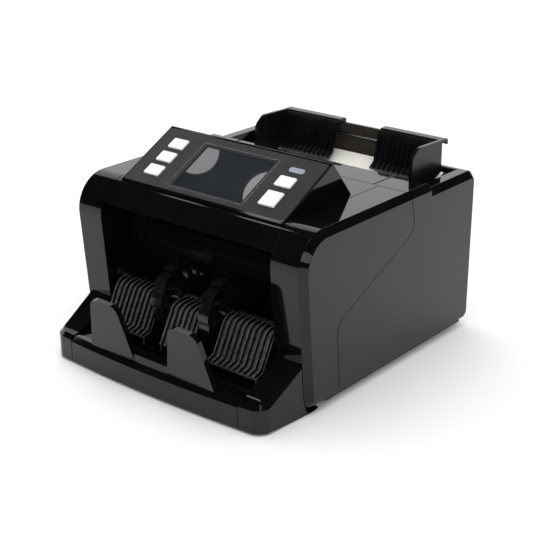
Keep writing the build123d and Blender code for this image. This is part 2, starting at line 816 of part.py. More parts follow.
# ---------------------------------------------------------------- shafts, rollers, pulleys
shaft_end = frame_x + sheet + 11.5
belt_plane_a = -(frame_x + sheet + 2.6)      # feed, exit and motor belt, left side
belt_plane_b = frame_x + sheet + 2.6         # stacker and pickup belts, right side
pulley_flange = 1.2
pulley_radii = {"stacker": 10.0, "exit": 8.0, "feed": 12.0, "pickup": 11.0}


def shaft_with(axis, left_pulley, right_pulley):
    """A plain shaft across the frames, with a belt pulley on either end where one is named."""
    y, z = axis
    with BuildPart() as shaft:
        with BuildSketch(Plane.YZ.offset(-shaft_end)):
            with Locations((y, z)):
                Circle(shaft_radius)
        extrude(amount=2 * shaft_end)
        for radius, x_start, direction in (
            (left_pulley, belt_plane_a + 1.0, -1),
            (right_pulley, belt_plane_b - 1.0, 1),
        ):
            if radius > 0:
                with BuildSketch(Plane.YZ.offset(x_start)):
                    with Locations((y, z)):
                        Circle(radius)
                extrude(amount=direction * (belt_width + 1.6))
                with BuildSketch(Plane.YZ.offset(x_start + direction * (belt_width + 1.6))):
                    with Locations((y, z)):
                        Circle(radius + 2.4)
                extrude(amount=direction * pulley_flange)
    return shaft.part


def rollers_on(axis, centres, width, radius, bore):
    """Identical roller sleeves on one shaft, as separate solids."""
    y, z = axis
    with BuildPart() as sleeves:
        for x in centres:
            with BuildSketch(Plane.YZ.offset(x - width / 2)):
                with Locations((y, z)):
                    Circle(radius)
                    Circle(bore, mode=Mode.SUBTRACT)
            extrude(amount=width)
        rims = sleeves.edges().filter_by(GeomType.CIRCLE).filter_by(lambda e: e.radius > bore + 1)
        chamfer(rims, 0.8)
    return sleeves.part


with BuildPart() as stacker_shaft:
    add(shaft_with(stacker_axis, 0, pulley_radii["stacker"]))
stacker_shaft.part.label = "stacker_shaft"
export_step(stacker_shaft.part, "parts/stacker_shaft.step")

with BuildPart() as exit_shaft:
    add(shaft_with(exit_axis, pulley_radii["exit"], pulley_radii["exit"]))
exit_shaft.part.label = "exit_shaft"
export_step(exit_shaft.part, "parts/exit_shaft.step")

with BuildPart() as feed_shaft:
    add(shaft_with(feed_axis, pulley_radii["feed"], pulley_radii["feed"]))
feed_shaft.part.label = "feed_shaft"
export_step(feed_shaft.part, "parts/feed_shaft.step")

with BuildPart() as pickup_shaft:
    add(shaft_with(pickup_axis, 0, pulley_radii["pickup"]))
pickup_shaft.part.label = "pickup_shaft"
export_step(pickup_shaft.part, "parts/pickup_shaft.step")

with BuildPart() as pinch_shaft:
    with BuildSketch(Plane.YZ.offset(-frame_x - sheet - 3.0)):
        with Locations(pinch_axis):
            Circle(shaft_radius)
    extrude(amount=2 * (frame_x + sheet + 3.0))
pinch_shaft.part.label = "pinch_shaft"
export_step(pinch_shaft.part, "parts/pinch_shaft.step")

exit_radius = 11.0
pinch_radius = pinch_axis[1] - exit_axis[1] - exit_radius - 0.3
feed_radius = 19.0
pickup_radius = 16.2
roller_x = [-58.0, -22.0, 22.0, 58.0]
feed_roller_x = [-36.0, 0.0, 36.0]
pickup_roller_x = [-30.0, 30.0]
exit_roller_width = 14.0
pinch_roller_width = 10.0
feed_roller_width = 22.0
pickup_roller_width = 16.0

with BuildPart() as exit_rollers:
    add(rollers_on(exit_axis, roller_x, exit_roller_width, exit_radius, shaft_radius))
exit_rollers.part.label = "exit_rollers"
export_step(exit_rollers.part, "parts/exit_rollers.step")

with BuildPart() as pinch_rollers:
    add(rollers_on(pinch_axis, roller_x, pinch_roller_width, pinch_radius, shaft_radius))
pinch_rollers.part.label = "pinch_rollers"
export_step(pinch_rollers.part, "parts/pinch_rollers.step")

with BuildPart() as feed_rollers:
    add(rollers_on(feed_axis, feed_roller_x, feed_roller_width, feed_radius, shaft_radius))
feed_rollers.part.label = "feed_rollers"
export_step(feed_rollers.part, "parts/feed_rollers.step")

with BuildPart() as pickup_rollers:
    add(rollers_on(pickup_axis, pickup_roller_x, pickup_roller_width, pickup_radius, shaft_radius))
pickup_rollers.part.label = "pickup_rollers"
export_step(pickup_rollers.part, "parts/pickup_rollers.step")

vane_count = 12
hub_radius = 11.0
vane_sweep = 62.0

with BuildSketch() as vane_shape:
    with BuildLine():
        vane = ThreePointArc(
            (hub_radius - 1.5, 0),
            (0.72 * wheel_radius, 0.2 * wheel_radius),
            (wheel_radius * cos(radians(vane_sweep)), wheel_radius * sin(radians(vane_sweep))),
        )
        offset(vane, amount=1.3, side=Side.LEFT)
    make_face()

for wheel_name, centre_x in (("left_stacker_wheel", -wheel_x), ("right_stacker_wheel", wheel_x)):
    wheel_plane = Plane(
        origin=(centre_x - wheel_width / 2, *stacker_axis), x_dir=(0, 1, 0), z_dir=(1, 0, 0)
    )
    with BuildPart() as stacker_wheel:
        with BuildSketch(wheel_plane):
            Circle(hub_radius)
            with PolarLocations(0, vane_count):
                add(vane_shape.sketch)
            Circle(shaft_radius, mode=Mode.SUBTRACT)
        extrude(amount=wheel_width)
    stacker_wheel.part.label = wheel_name
    export_step(stacker_wheel.part, f"parts/{wheel_name}.step")

# ---------------------------------------------------------------- note path plates
path_half = frame_x - 0.5


def sheet_along(points, thickness, side, radius, half):
    """A bent sheet across the machine, following a side profile."""
    with BuildPart() as bent:
        with BuildSketch(Plane.YZ.offset(-half)):
            with BuildLine():
                line = FilletPolyline(*points, radius=radius)
                offset(line, amount=thickness, side=side)
            make_face()
        extrude(amount=2 * half)
    return bent.part


def roller_windows(axis, centres, width, radius):
    """Boxes that open a plate round a row of rollers."""
    with BuildPart() as windows:
        with Locations(*[(x, axis[0], axis[1]) for x in centres]):
            Box(width + 3.0, 2 * radius + 3.0, 2 * radius + 3.0)
    return windows.part


note_level = exit_axis[1] + exit_radius

with BuildPart() as upper_guide:
    add(
        sheet_along(
            [
                (exit_axis[0] - 30.0, note_level + 16.0),
                (exit_axis[0] - 22.0, note_level + 3.0),
                (exit_axis[0] + 24.0, note_level + 3.0),
                (feed_axis[0] - 12.0, feed_axis[1] + feed_radius + 4.0),
                (feed_axis[0] + 4.0, feed_axis[1] + feed_radius + 5.0),
            ],
            1.5,
            Side.LEFT,
            4.0,
            path_half,
        )
    )
    add(roller_windows(pinch_axis, roller_x, pinch_roller_width, pinch_radius), mode=Mode.SUBTRACT)
upper_guide.part.label = "upper_guide"
export_step(upper_guide.part, "parts/upper_guide.step")

with BuildPart() as lower_guide:
    add(
        sheet_along(
            [
                (exit_axis[0] - 26.0, note_level - 13.0),
                (exit_axis[0] - 15.0, note_level - 1.6),
                (exit_axis[0] + 22.0, note_level - 1.6),
                (feed_axis[0] - 21.0, feed_axis[1] + 8.0),
            ],
            1.5,
            Side.RIGHT,
            3.0,
            path_half,
        )
    )
    add(roller_windows(exit_axis, roller_x, exit_roller_width, exit_radius), mode=Mode.SUBTRACT)
lower_guide.part.label = "lower_guide"
export_step(lower_guide.part, "parts/lower_guide.step")

cavity_back_y = exit_axis[0] - 16.0

with BuildPart() as cavity_back:
    with BuildSketch(Plane.XZ.offset(-cavity_back_y)):
        with Locations((0, pan_top)):
            Rectangle(2 * path_half, note_level - 14.0 - pan_top, align=(Align.CENTER, Align.MIN))
    extrude(amount=2.0)
    with BuildSketch(Plane.XY.offset(pan_top)):
        with Locations((0, cavity_back_y)):
            Rectangle(2 * path_half, 9.0, align=(Align.CENTER, Align.MIN))
    extrude(amount=2.0)
cavity_back.part.label = "cavity_back"
export_step(cavity_back.part, "parts/cavity_back.step")

hood_front = front_line(fascia_bottom) + wall + 5.6

with BuildPart() as outlet_hood:
    add(
        sheet_along(
            [
                (hood_front + 3.5, fascia_bottom + 5.0),
                (hood_front, fascia_bottom - 0.6),
                (exit_axis[0] - 34.5, note_level + 13.0),
                (exit_axis[0] - 31.5, note_level + 20.0),
            ],
            2.0,
            Side.LEFT,
            3.0,
            cover_x - slide_gap,
        )
    )
outlet_hood.part.label = "outlet_hood"
export_step(outlet_hood.part, "parts/outlet_hood.step")

# ---------------------------------------------------------------- hopper
chute_half = hopper_half - 9.0
chute_sheet = 1.5

with BuildPart() as hopper_chute:
    with BuildSketch(Plane.YZ.offset(-chute_half)):
        with BuildLine():
            chute_line = Line(chute_low, chute_high)
            offset(chute_line, amount=chute_sheet, side=Side.RIGHT)
        make_face()
    extrude(amount=2 * chute_half)
    add(roller_windows(pickup_axis, pickup_roller_x, pickup_roller_width, pickup_radius), mode=Mode.SUBTRACT)
    with BuildSketch(Plane.XY.offset(chute_low[1] - 10.0)):
        for side in (-1, 1):
            with Locations((side * (chute_half + frame_x) / 2, chute_low[0])):
                Rectangle(chute_half - frame_x + 2.0, 2 * (step_y - chute_low[0] + 1.0))
    extrude(amount=40.0, mode=Mode.SUBTRACT)
hopper_chute.part.label = "hopper_chute"
export_step(hopper_chute.part, "parts/hopper_chute.step")

back_bar_half = 68.0
guide_top = rear_top + 27.0
bar_top = guide_top - 3.6
bar_height = 8.5
bar_thickness = 3.0

with BuildPart() as hopper_back:
    with BuildSketch(Plane.XZ.offset(-hopper_back_y)):
        with Locations((0, chute_high[1] - 24.0)):
            Rectangle(
                2 * (hopper_half - 0.6), rear_top - 4.0 - chute_high[1] + 24.0,
                align=(Align.CENTER, Align.MIN),
            )
        with Locations((0, rear_top - 6.0)):
            Rectangle(2 * back_bar_half, bar_top - rear_top + 6.0, align=(Align.CENTER, Align.MIN))
    extrude(amount=-2.5)
    with BuildSketch(Plane.XZ.offset(-hopper_back_y)):
        with Locations((0, bar_top)):
            Rectangle(2 * back_bar_half, bar_height, align=(Align.CENTER, Align.MAX))
    extrude(amount=-bar_thickness)
hopper_back.part.label = "hopper_back"
export_step(hopper_back.part, "parts/hopper_back.step")

fin_thickness = 3.0
plate_width = 64.0
guide_rib_count = 12
cap_thickness = 3.0
cap_hook = 5.5
hook_front = hopper_back_y + bar_thickness + slide_gap
cap_rear = hook_front + 1.8
guide_low = (step_y + 36.0, chute_z(step_y + 36.0) + 3.5)
left_fin_x = 36.0 - hopper_half
right_fin_x = hopper_half - 10.0


def hopper_guide(fin_x, inward):
    """A sliding note guide: a side fin, a ribbed back plate and a cap over the back bar."""
    plate_start = fin_x if inward > 0 else fin_x - plate_width
    with BuildPart() as guide:
        with BuildSketch(Plane.YZ.offset(fin_x if inward > 0 else fin_x - fin_thickness)):
            with BuildLine():
                FilletPolyline(
                    (hopper_back_y - 4.0, guide_top),
                    (step_y + 17.0, guide_top + 1.0),
                    (step_y + 7.0, guide_top - 7.0),
                    (step_y + 4.2, chute_z(step_y + 4.2) + 1.8),
                    (hopper_back_y - 4.0, chute_z(hopper_back_y - 4.0) + 1.8),
                    radius=[0.5, 9.0, 8.0, 2.0, 0.5],
                    close=True,
                )
            make_face()
        extrude(amount=fin_thickness)
        with BuildSketch(Plane.YZ.offset(plate_start)):
            with BuildLine():
                plate_line = FilletPolyline(
                    guide_low,
                    (guide_low[0] + 7.0, guide_low[1] + 5.0),
                    (hopper_back_y - 6.5, guide_top - 3.0),
                    (hopper_back_y - 2.0, guide_top - 3.0),
                    radius=3.5,
                )
                offset(plate_line, amount=2.2, side=Side.LEFT)
            make_face()
        extrude(amount=plate_width)
        for index in range(guide_rib_count):
            x = plate_start + (index + 0.5) * plate_width / guide_rib_count
            with BuildSketch(Plane.YZ.offset(x - 1.0)):
                with BuildLine():
                    rib = FilletPolyline(
                        guide_low,
                        (guide_low[0] + 7.0, guide_low[1] + 5.0),
                        (hopper_back_y - 7.4, guide_top - 8.0),
                        radius=3.5,
                    )
                    offset(rib, amount=3.8, side=Side.LEFT)
                make_face()
            extrude(amount=2.0)
        with BuildSketch(Plane.YZ.offset(plate_start)):
            with BuildLine():
                FilletPolyline(
                    (hopper_back_y - 6.0, guide_top - cap_thickness),
                    (hopper_back_y - 6.0, guide_top),
                    (cap_rear, guide_top),
                    (cap_rear, guide_top - cap_hook),
                    (hook_front, guide_top - cap_hook),
                    (hook_front, guide_top - cap_thickness),
                    radius=[0.3, 1.6, 2.6, 0.6, 0.6, 0.3],
                    close=True,
                )
            make_face()
        extrude(amount=plate_width)
    return guide.part


with BuildPart() as left_hopper_guide:
    add(hopper_guide(left_fin_x, 1))
left_hopper_guide.part.label = "left_hopper_guide"
export_step(left_hopper_guide.part, "parts/left_hopper_guide.step")

with BuildPart() as right_hopper_guide:
    add(hopper_guide(right_fin_x, -1))
right_hopper_guide.part.label = "right_hopper_guide"
export_step(right_hopper_guide.part, "parts/right_hopper_guide.step")

# ---------------------------------------------------------------- rear panel, inlet and switch
inlet_x, inlet_z = -(half_width - 58.0), 40.0
inlet_size = (27.5, 20.0)
switch_x = inlet_x + 36.0
switch_size = (13.0, 19.5)
panel_screw_spots = [(side * (cover_x - 9.0), z) for side in (-1, 1) for z in (24.0, rear_top - 28)]

with BuildPart() as rear_panel:
    with BuildSketch(Plane.YZ.offset(-cover_x)):
        add(side_outline(rear_top, floor_gap, 0))
        add(side_outline(rear_top, floor_gap, wall), mode=Mode.SUBTRACT)
        with Locations((pan_rear + slide_gap, floor_gap - 1)):
            Rectangle(overall_depth, overall_height, align=Align.MIN, mode=Mode.INTERSECT)
    extrude(amount=2 * cover_x)
    with BuildSketch(Plane.XZ.offset(-rear_y)):
        with Locations((inlet_x, inlet_z)):
            Rectangle(inlet_size[0] + slide_gap, inlet_size[1] + slide_gap)
        with Locations((switch_x, inlet_z)):
            Rectangle(switch_size[0] + slide_gap, switch_size[1] + slide_gap)
        with Locations((22.0, rear_top / 2)):
            with GridLocations(7.0, 34.0, 14, 2):
                SlotOverall(26.0, 3.2, rotation=90)
    extrude(amount=wall + 1, mode=Mode.SUBTRACT)
    with Locations(*[Plane.XZ.offset(-rear_y) * Location((x, z, 0)) for x, z in panel_screw_spots]):
        CounterBoreHole(1.6, 3.2, 1.8)
rear_panel.part.label = "rear_panel"
export_step(rear_panel.part, "parts/rear_panel.step")

with BuildPart() as power_inlet:
    with BuildSketch(Plane.XZ.offset(-rear_y + 0.3)):
        with Locations((inlet_x, inlet_z)):
            RectangleRounded(*inlet_size, 3.0)
    extrude(amount=22.0)
    with BuildSketch(Plane.XZ.offset(-rear_y + wall + 0.1)):
        with Locations((inlet_x, inlet_z)):
            Rectangle(inlet_size[0] + 4.0, inlet_size[1] + 4.0)
    extrude(amount=2.0)
    with BuildSketch(Plane.XZ.offset(-rear_y)):
        with Locations((inlet_x, inlet_z)):
            RectangleRounded(inlet_size[0] - 3.0, inlet_size[1] - 3.4, 2.5)
    extrude(amount=17.0, mode=Mode.SUBTRACT)
    with BuildSketch(Plane.XZ.offset(-rear_y + 19.0)):
        for x, z in ((-7.0, -2.0), (0.0, 2.0), (7.0, -2.0)):
            with Locations((inlet_x + x, inlet_z + z)):
                Rectangle(2.0, 4.0)
    extrude(amount=-16.0)
power_inlet.part.label = "power_inlet"
export_step(power_inlet.part, "parts/power_inlet.step")

rocker_pivot = (rear_y - 5.0, inlet_z)

with BuildPart() as power_switch:
    with BuildSketch(Plane.XZ.offset(-rear_y + 0.3)):
        with Locations((switch_x, inlet_z)):
            Rectangle(*switch_size)
    extrude(amount=20.0)
    with BuildSketch(Plane.XZ.offset(-rear_y + wall + 0.1)):
        with Locations((switch_x, inlet_z)):
            Rectangle(switch_size[0] + 3.0, switch_size[1] + 4.0)
    extrude(amount=1.6)
    with BuildSketch(Plane.XZ.offset(-rear_y)):
        with Locations((switch_x, inlet_z)):
            Rectangle(switch_size[0] - 2.6, switch_size[1] - 2.6)
    extrude(amount=13.5, mode=Mode.SUBTRACT)
power_switch.part.label = "power_switch"
export_step(power_switch.part, "parts/power_switch.step")

with BuildPart() as switch_rocker:
    with BuildSketch(Plane.YZ.offset(switch_x - switch_size[0] / 2 + 1.6)):
        with BuildLine():
            Polyline(
                (rocker_pivot[0] - 4.0, inlet_z - 5.4),
                (rocker_pivot[0] + 2.0, inlet_z - 7.6),
                (rocker_pivot[0] + 3.0, inlet_z),
                (rocker_pivot[0] + 2.0, inlet_z + 7.6),
                (rocker_pivot[0] - 4.0, inlet_z + 5.4),
                close=True,
            )
        make_face()
    extrude(amount=switch_size[0] - 3.2)
switch_rocker.part.label = "switch_rocker"
export_step(switch_rocker.part, "parts/switch_rocker.step")

screw_head = 2.9
screw_shank = 1.5

with BuildPart() as case_screws:
    for x, z in panel_screw_spots:
        with BuildSketch(Plane.XZ.offset(-rear_y + 0.2)):
            with Locations((x, z)):
                Circle(screw_head)
        extrude(amount=1.5)
        with BuildSketch(Plane.XZ.offset(-rear_y + 1.0)):
            with Locations((x, z)):
                Circle(screw_shank)
        extrude(amount=8.5)
    for x, y in pan_screw_spots:
        with BuildSketch(Plane.XY.offset(floor_gap - 1.5)):
            with Locations((x, y)):
                Circle(screw_head)
        extrude(amount=1.5)
        with BuildSketch(Plane.XY.offset(floor_gap - 0.5)):
            with Locations((x, y)):
                Circle(screw_shank)
        extrude(amount=8.5)
case_screws.part.label = "case_screws"
export_step(case_screws.part, "parts/case_screws.step")

# ---------------------------------------------------------------- drive
motor_radius = 21.0
motor_length = 62.0
motor_pulley_radius = 9.0

with BuildPart() as drive_motor:
    with BuildSketch(Plane.YZ.offset(-frame_x + 0.2)):
        with Locations(motor_axis):
            Circle(motor_radius)
    extrude(amount=motor_length)
    with BuildSketch(Plane.YZ.offset(-frame_x + 0.2)):
        with Locations(motor_axis):
            Circle(motor_boss)
            Circle(shaft_radius - 1.0 + bore_gap, mode=Mode.SUBTRACT)
    extrude(amount=-1.0)
    with BuildSketch(Plane.YZ.offset(-frame_x - 2.0)):
        with Locations(motor_axis):
            Circle(shaft_radius - 1.0 + bore_gap)
    extrude(amount=14.0, mode=Mode.SUBTRACT)
    end_rim = drive_motor.edges().filter_by(GeomType.CIRCLE).sort_by(Axis.X)[-1]
    chamfer(end_rim, 1.5)
drive_motor.part.label = "drive_motor"
export_step(drive_motor.part, "parts/drive_motor.step")

with BuildPart() as motor_pulley:
    with BuildSketch(Plane.YZ.offset(-shaft_end)):
        with Locations(motor_axis):
            Circle(shaft_radius - 1.0)
    extrude(amount=shaft_end - frame_x + 10.0)
    with BuildSketch(Plane.YZ.offset(belt_plane_a + 1.0)):
        with Locations(motor_axis):
            Circle(motor_pulley_radius)
    extrude(amount=-belt_width - 1.6)
    with BuildSketch(Plane.YZ.offset(belt_plane_a - belt_width - 0.6)):
        with Locations(motor_axis):
            Circle(motor_pulley_radius + 2.4)
    extrude(amount=-pulley_flange)
motor_pulley.part.label = "motor_pulley"
export_step(motor_pulley.part, "parts/motor_pulley.step")


def belt_round(pulleys, x_start, direction):
    """A flat loop of belt drawn tight round a set of pulleys."""
    with BuildPart() as belt:
        with BuildSketch(Plane.YZ.offset(x_start)):
            with BuildSketch(mode=Mode.PRIVATE) as loops:
                for (y, z), radius in pulleys:
                    with Locations((y, z)):
                        Circle(radius + belt_gap)
                make_hull()
            add(loops.sketch)
            offset(amount=belt_thickness)
            add(loops.sketch, mode=Mode.SUBTRACT)
        extrude(amount=direction * belt_width)
    return belt.part


with BuildPart() as main_belt:
    add(
        belt_round(
            [
                (motor_axis, motor_pulley_radius),
                (feed_axis, pulley_radii["feed"]),
                (exit_axis, pulley_radii["exit"]),
            ],
            belt_plane_a + 0.2,
            -1,
        )
    )
main_belt.part.label = "main_belt"
export_step(main_belt.part, "parts/main_belt.step")

with BuildPart() as right_belts:
    for far_axis, far_radius, near_axis, near_radius in (
        (stacker_axis, pulley_radii["stacker"], exit_axis, pulley_radii["exit"]),
        (pickup_axis, pulley_radii["pickup"], feed_axis, pulley_radii["feed"]),
    ):
        add(
            belt_round(
                [(far_axis, far_radius), (near_axis, near_radius)], belt_plane_b - 0.2, 1
            )
        )
right_belts.part.label = "right_belts"
export_step(right_belts.part, "parts/right_belts.step")

# ---------------------------------------------------------------- electronics
board_thickness = 1.6
standoff = 6.0

with BuildPart() as main_board:
    with BuildSketch(Plane.XY.offset(pan_top + standoff)):
        with Locations((38.0, feed_axis[0] + 26.0)):
            Rectangle(86.0, 92.0)
    extrude(amount=board_thickness)
    with BuildSketch(Plane.XY.offset(pan_top)):
        with Locations((38.0, feed_axis[0] + 26.0)):
            with GridLocations(78.0, 84.0, 2, 2):
                Circle(2.5)
    extrude(amount=standoff)
    with BuildSketch(Plane.XY.offset(pan_top + standoff + board_thickness)):
        with Locations((30.0, feed_axis[0] + 20.0), (52.0, feed_axis[0] + 44.0)):
            Rectangle(16.0, 16.0)
    extrude(amount=2.0)
    with BuildSketch(Plane.XY.offset(pan_top + standoff + board_thickness)):
        with Locations((62.0, feed_axis[0] + 2.0)):
            with GridLocations(12.0, 1.0, 3, 1):
                Circle(4.5)
    extrude(amount=12.0)
    with BuildSketch(Plane.XY.offset(pan_top + standoff + board_thickness)):
        with Locations((6.0, feed_axis[0] + 26.0)):
            with GridLocations(1.0, 16.0, 1, 4):
                Rectangle(6.0, 12.0)
    extrude(amount=7.0)
main_board.part.label = "main_board"
export_step(main_board.part, "parts/main_board.step")

with BuildPart() as power_supply:
    with BuildSketch(Plane.XY.offset(pan_top + standoff)):
        with Locations((-48.0, rear_y - 42.0)):
            Rectangle(76.0, 40.0)
    extrude(amount=board_thickness)
    with BuildSketch(Plane.XY.offset(pan_top)):
        with Locations((-48.0, rear_y - 42.0)):
            with GridLocations(68.0, 32.0, 2, 2):
                Circle(2.5)
    extrude(amount=standoff)
    with BuildSketch(Plane.XY.offset(pan_top + standoff + board_thickness)):
        with Locations((-36.0, rear_y - 42.0)):
            Rectangle(26.0, 22.0)
    extrude(amount=20.0)
    with BuildSketch(Plane.XY.offset(pan_top + standoff + board_thickness)):
        with Locations((-66.0, rear_y - 44.0)):
            Circle(8.0)
    extrude(amount=24.0)
power_supply.part.label = "power_supply"
export_step(power_supply.part, "parts/power_supply.step")

sensor_y = exit_axis[0] + 16.0

with BuildPart() as note_sensors:
    for x in (-66.0, 0.0, 66.0):
        with BuildSketch(Plane.XY.offset(note_level + 4.5)):
            with Locations((x, sensor_y)):
                Rectangle(14.0, 9.0)
        extrude(amount=6.0)
note_sensors.part.label = "note_sensors"
export_step(note_sensors.part, "parts/note_sensors.step")
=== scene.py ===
import json
from math import atan2, cos, pi, radians, sin

import bpy
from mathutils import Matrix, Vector


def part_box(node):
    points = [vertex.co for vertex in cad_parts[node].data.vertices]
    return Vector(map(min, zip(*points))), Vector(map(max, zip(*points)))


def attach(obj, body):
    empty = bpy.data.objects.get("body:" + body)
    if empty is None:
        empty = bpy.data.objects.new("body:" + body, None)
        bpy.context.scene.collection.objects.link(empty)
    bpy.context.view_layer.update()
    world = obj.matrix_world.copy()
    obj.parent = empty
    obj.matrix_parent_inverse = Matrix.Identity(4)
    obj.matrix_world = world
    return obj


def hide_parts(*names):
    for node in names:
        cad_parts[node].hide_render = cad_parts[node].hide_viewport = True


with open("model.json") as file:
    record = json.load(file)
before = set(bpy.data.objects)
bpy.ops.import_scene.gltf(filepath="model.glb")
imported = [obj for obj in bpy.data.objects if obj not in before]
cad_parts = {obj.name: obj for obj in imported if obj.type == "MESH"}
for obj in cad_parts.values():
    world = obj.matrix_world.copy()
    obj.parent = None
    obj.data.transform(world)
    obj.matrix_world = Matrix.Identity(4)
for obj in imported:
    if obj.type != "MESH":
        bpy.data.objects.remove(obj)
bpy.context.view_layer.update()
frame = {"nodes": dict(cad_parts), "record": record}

# A desktop banknote counting machine in high-gloss black ABS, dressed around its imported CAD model.

MM = 0.001
tone_span = (0.35, 0.65)    # where a pattern turns from a finish's darker shade to its lighter one
nodes = frame["nodes"]
joints = {joint["name"]: joint for joint in frame["record"]["behaviour"]["joints"]}
body_of = {node: body for body, members in frame["record"]["behaviour"]["bodies"].items() for node in members}


# ---------------------------------------------------------------- small tools for materials
def hex_colour(code):
    """An sRGB colour such as #1a2b3c as the linear colour that a shader takes."""
    parts = [int(code[i:i + 2], 16) / 255 for i in (1, 3, 5)]
    linear = [c / 12.92 if c <= 0.04045 else ((c + 0.055) / 1.055) ** 2.4 for c in parts]
    return (*linear, 1.0)


def add_node(tree, kind, settings=None, **sockets):
    """Adds one shader node. Settings are its properties, and sockets are values or links for its inputs.

    A socket is named with _ for a space, or numbered as i0, i1 and so on.
    """
    made = tree.nodes.new("ShaderNode" + kind)
    for key, value in (settings or {}).items():
        setattr(made, key, value)
    for key, value in sockets.items():
        numbered = key[0] == "i" and key[1:].isdigit()
        socket = made.inputs[int(key[1:]) if numbered else key.replace("_", " ")]
        if isinstance(value, bpy.types.NodeSocket):
            tree.links.new(value, socket)
        else:
            socket.default_value = value
    return made


def new_material(name, **surface):
    """A material with one Principled shader, whose plain values are set on its own sockets."""
    material = bpy.data.materials.new(name)
    material.use_nodes = True
    tree = material.node_tree
    shader = tree.nodes["Principled BSDF"]
    for key, value in surface.items():
        shader.inputs[key.replace("_", " ")].default_value = value
    place = add_node(tree, "TexCoord").outputs["Object"]
    return material, tree, shader, place


def grain(tree, place, size_mm, detail=3.0, roughness=0.55, stretch=None):
    """A noise pattern whose lumps are size_mm across, drawn out along an axis by stretch."""
    if stretch:
        place = add_node(tree, "Mapping", Vector=place, Scale=stretch).outputs["Vector"]
    scale = 1 / (size_mm * MM)
    noise = add_node(tree, "TexNoise", Vector=place, Scale=scale, Detail=detail, Roughness=roughness)
    return noise.outputs["Fac"]


def vary_gloss(tree, shader, pattern, low, high, start=0.3, stop=0.7):
    """Lets a pattern, from start to stop, vary the surface's roughness from low to high."""
    roughness = add_node(tree, "MapRange", i0=pattern, i1=start, i2=stop, i3=low, i4=high).outputs[0]
    tree.links.new(roughness, shader.inputs["Roughness"])


def raise_surface(tree, shader, pattern, height_mm, strength=1.0):
    """Lets a pattern stand up from the surface by height_mm."""
    bump = add_node(tree, "Bump", Height=pattern, Distance=height_mm * MM, Strength=strength)
    tree.links.new(bump.outputs["Normal"], shader.inputs["Normal"])


def two_tone(tree, shader, pattern, dark, light):
    """Colours the surface between two near shades by a pattern."""
    ramp = add_node(tree, "ValToRGB", Fac=pattern)
    for element, shade, position in zip(ramp.color_ramp.elements, (dark, light), tone_span):
        element.color = hex_colour(shade)
        element.position = position
    tree.links.new(ramp.outputs["Color"], shader.inputs["Base Color"])


# ---------------------------------------------------------------- finishes
# Patterns are sized in millimetres, after real ones. The finest, such as tooth, pits, pores and the marks
# of grinding and drawing, are drawn at 0.25 to 0.8 mm, because at their real size they wouldn't show.
def polished_black_abs():
    """High-gloss ABS from a mirror-polished mould: deep black, mirroring the room a little wavily."""
    material, tree, shader, place = new_material("polished_black_abs", IOR=1.46, Specular_IOR_Level=0.42)
    flow = grain(tree, place, size_mm=28, detail=2.0)
    dust = grain(tree, place, size_mm=1.6, detail=4.0, roughness=0.7)
    two_tone(tree, shader, flow, "#070708", "#0b0b0c")
    vary_gloss(tree, shader, dust, low=0.035, high=0.075)
    raise_surface(tree, shader, flow, height_mm=0.012, strength=0.5)
    return material


def satin_black_overlay():
    """The console's printed polycarbonate overlay: dark grey, satin, with a fine even tooth."""
    material, tree, shader, place = new_material("satin_black_overlay", IOR=1.5, Specular_IOR_Level=0.3)
    tooth = grain(tree, place, size_mm=0.35, detail=3.0)
    cloud = grain(tree, place, size_mm=20, detail=2.0)
    two_tone(tree, shader, cloud, "#2a2a2c", "#2f2f32")
    vary_gloss(tree, shader, tooth, low=0.4, high=0.5)
    raise_surface(tree, shader, tooth, height_mm=0.01, strength=0.4)
    return material


def textured_black_abs():
    """Black ABS from a spark-eroded mould: fine leathery cells that dull the light."""
    material, tree, shader, place = new_material("textured_black_abs", IOR=1.5, Specular_IOR_Level=0.3)
    cells = add_node(tree, "TexVoronoi", Vector=place, Scale=1 / (0.45 * MM)).outputs["Distance"]
    cloud = grain(tree, place, size_mm=12, detail=3.0)
    two_tone(tree, shader, cloud, "#0b0b0c", "#121213")
    vary_gloss(tree, shader, cells, low=0.2, high=0.3)
    raise_surface(tree, shader, cells, height_mm=0.015, strength=0.45)
    return material


def moulded_black_pom():
    """Black acetal of the stacker wheels and ribbed combs: half gloss, with a faint cloudiness of use."""
    material, tree, shader, place = new_material("moulded_black_pom", IOR=1.48)
    cloud = grain(tree, place, size_mm=6, detail=3.0)
    two_tone(tree, shader, cloud, "#0a0a0b", "#101011")
    vary_gloss(tree, shader, cloud, low=0.14, high=0.24)
    raise_surface(tree, shader, grain(tree, place, size_mm=0.8), height_mm=0.008, strength=0.4)
    return material


def white_key_abs():
    """White ABS key caps with a silky top, very slightly uneven in tone."""
    material, tree, shader, place = new_material(
        "white_key_abs", IOR=1.5, Subsurface_Weight=0.05, Subsurface_Scale=0.002
    )
    cloud = grain(tree, place, size_mm=5, detail=3.0)
    two_tone(tree, shader, cloud, "#e9eaea", "#f2f2f1")
    vary_gloss(tree, shader, grain(tree, place, size_mm=0.5), low=0.3, high=0.42)
    raise_surface(tree, shader, grain(tree, place, size_mm=0.4), height_mm=0.008, strength=0.4)
    return material


def tinted_display_window():
    """Smoke-tinted acrylic over an unlit display: mirror smooth and a dark, almost even blue-grey."""
    material, tree, shader, place = new_material(
        "tinted_display_window", IOR=1.49, Roughness=0.015, Coat_Weight=0.3, Coat_Roughness=0.01
    )
    two_tone(tree, shader, grain(tree, place, size_mm=40, detail=1.0), "#24272b", "#2a2d31")
    vary_gloss(tree, shader, grain(tree, place, size_mm=30, detail=1.0), low=0.012, high=0.02)
    return material


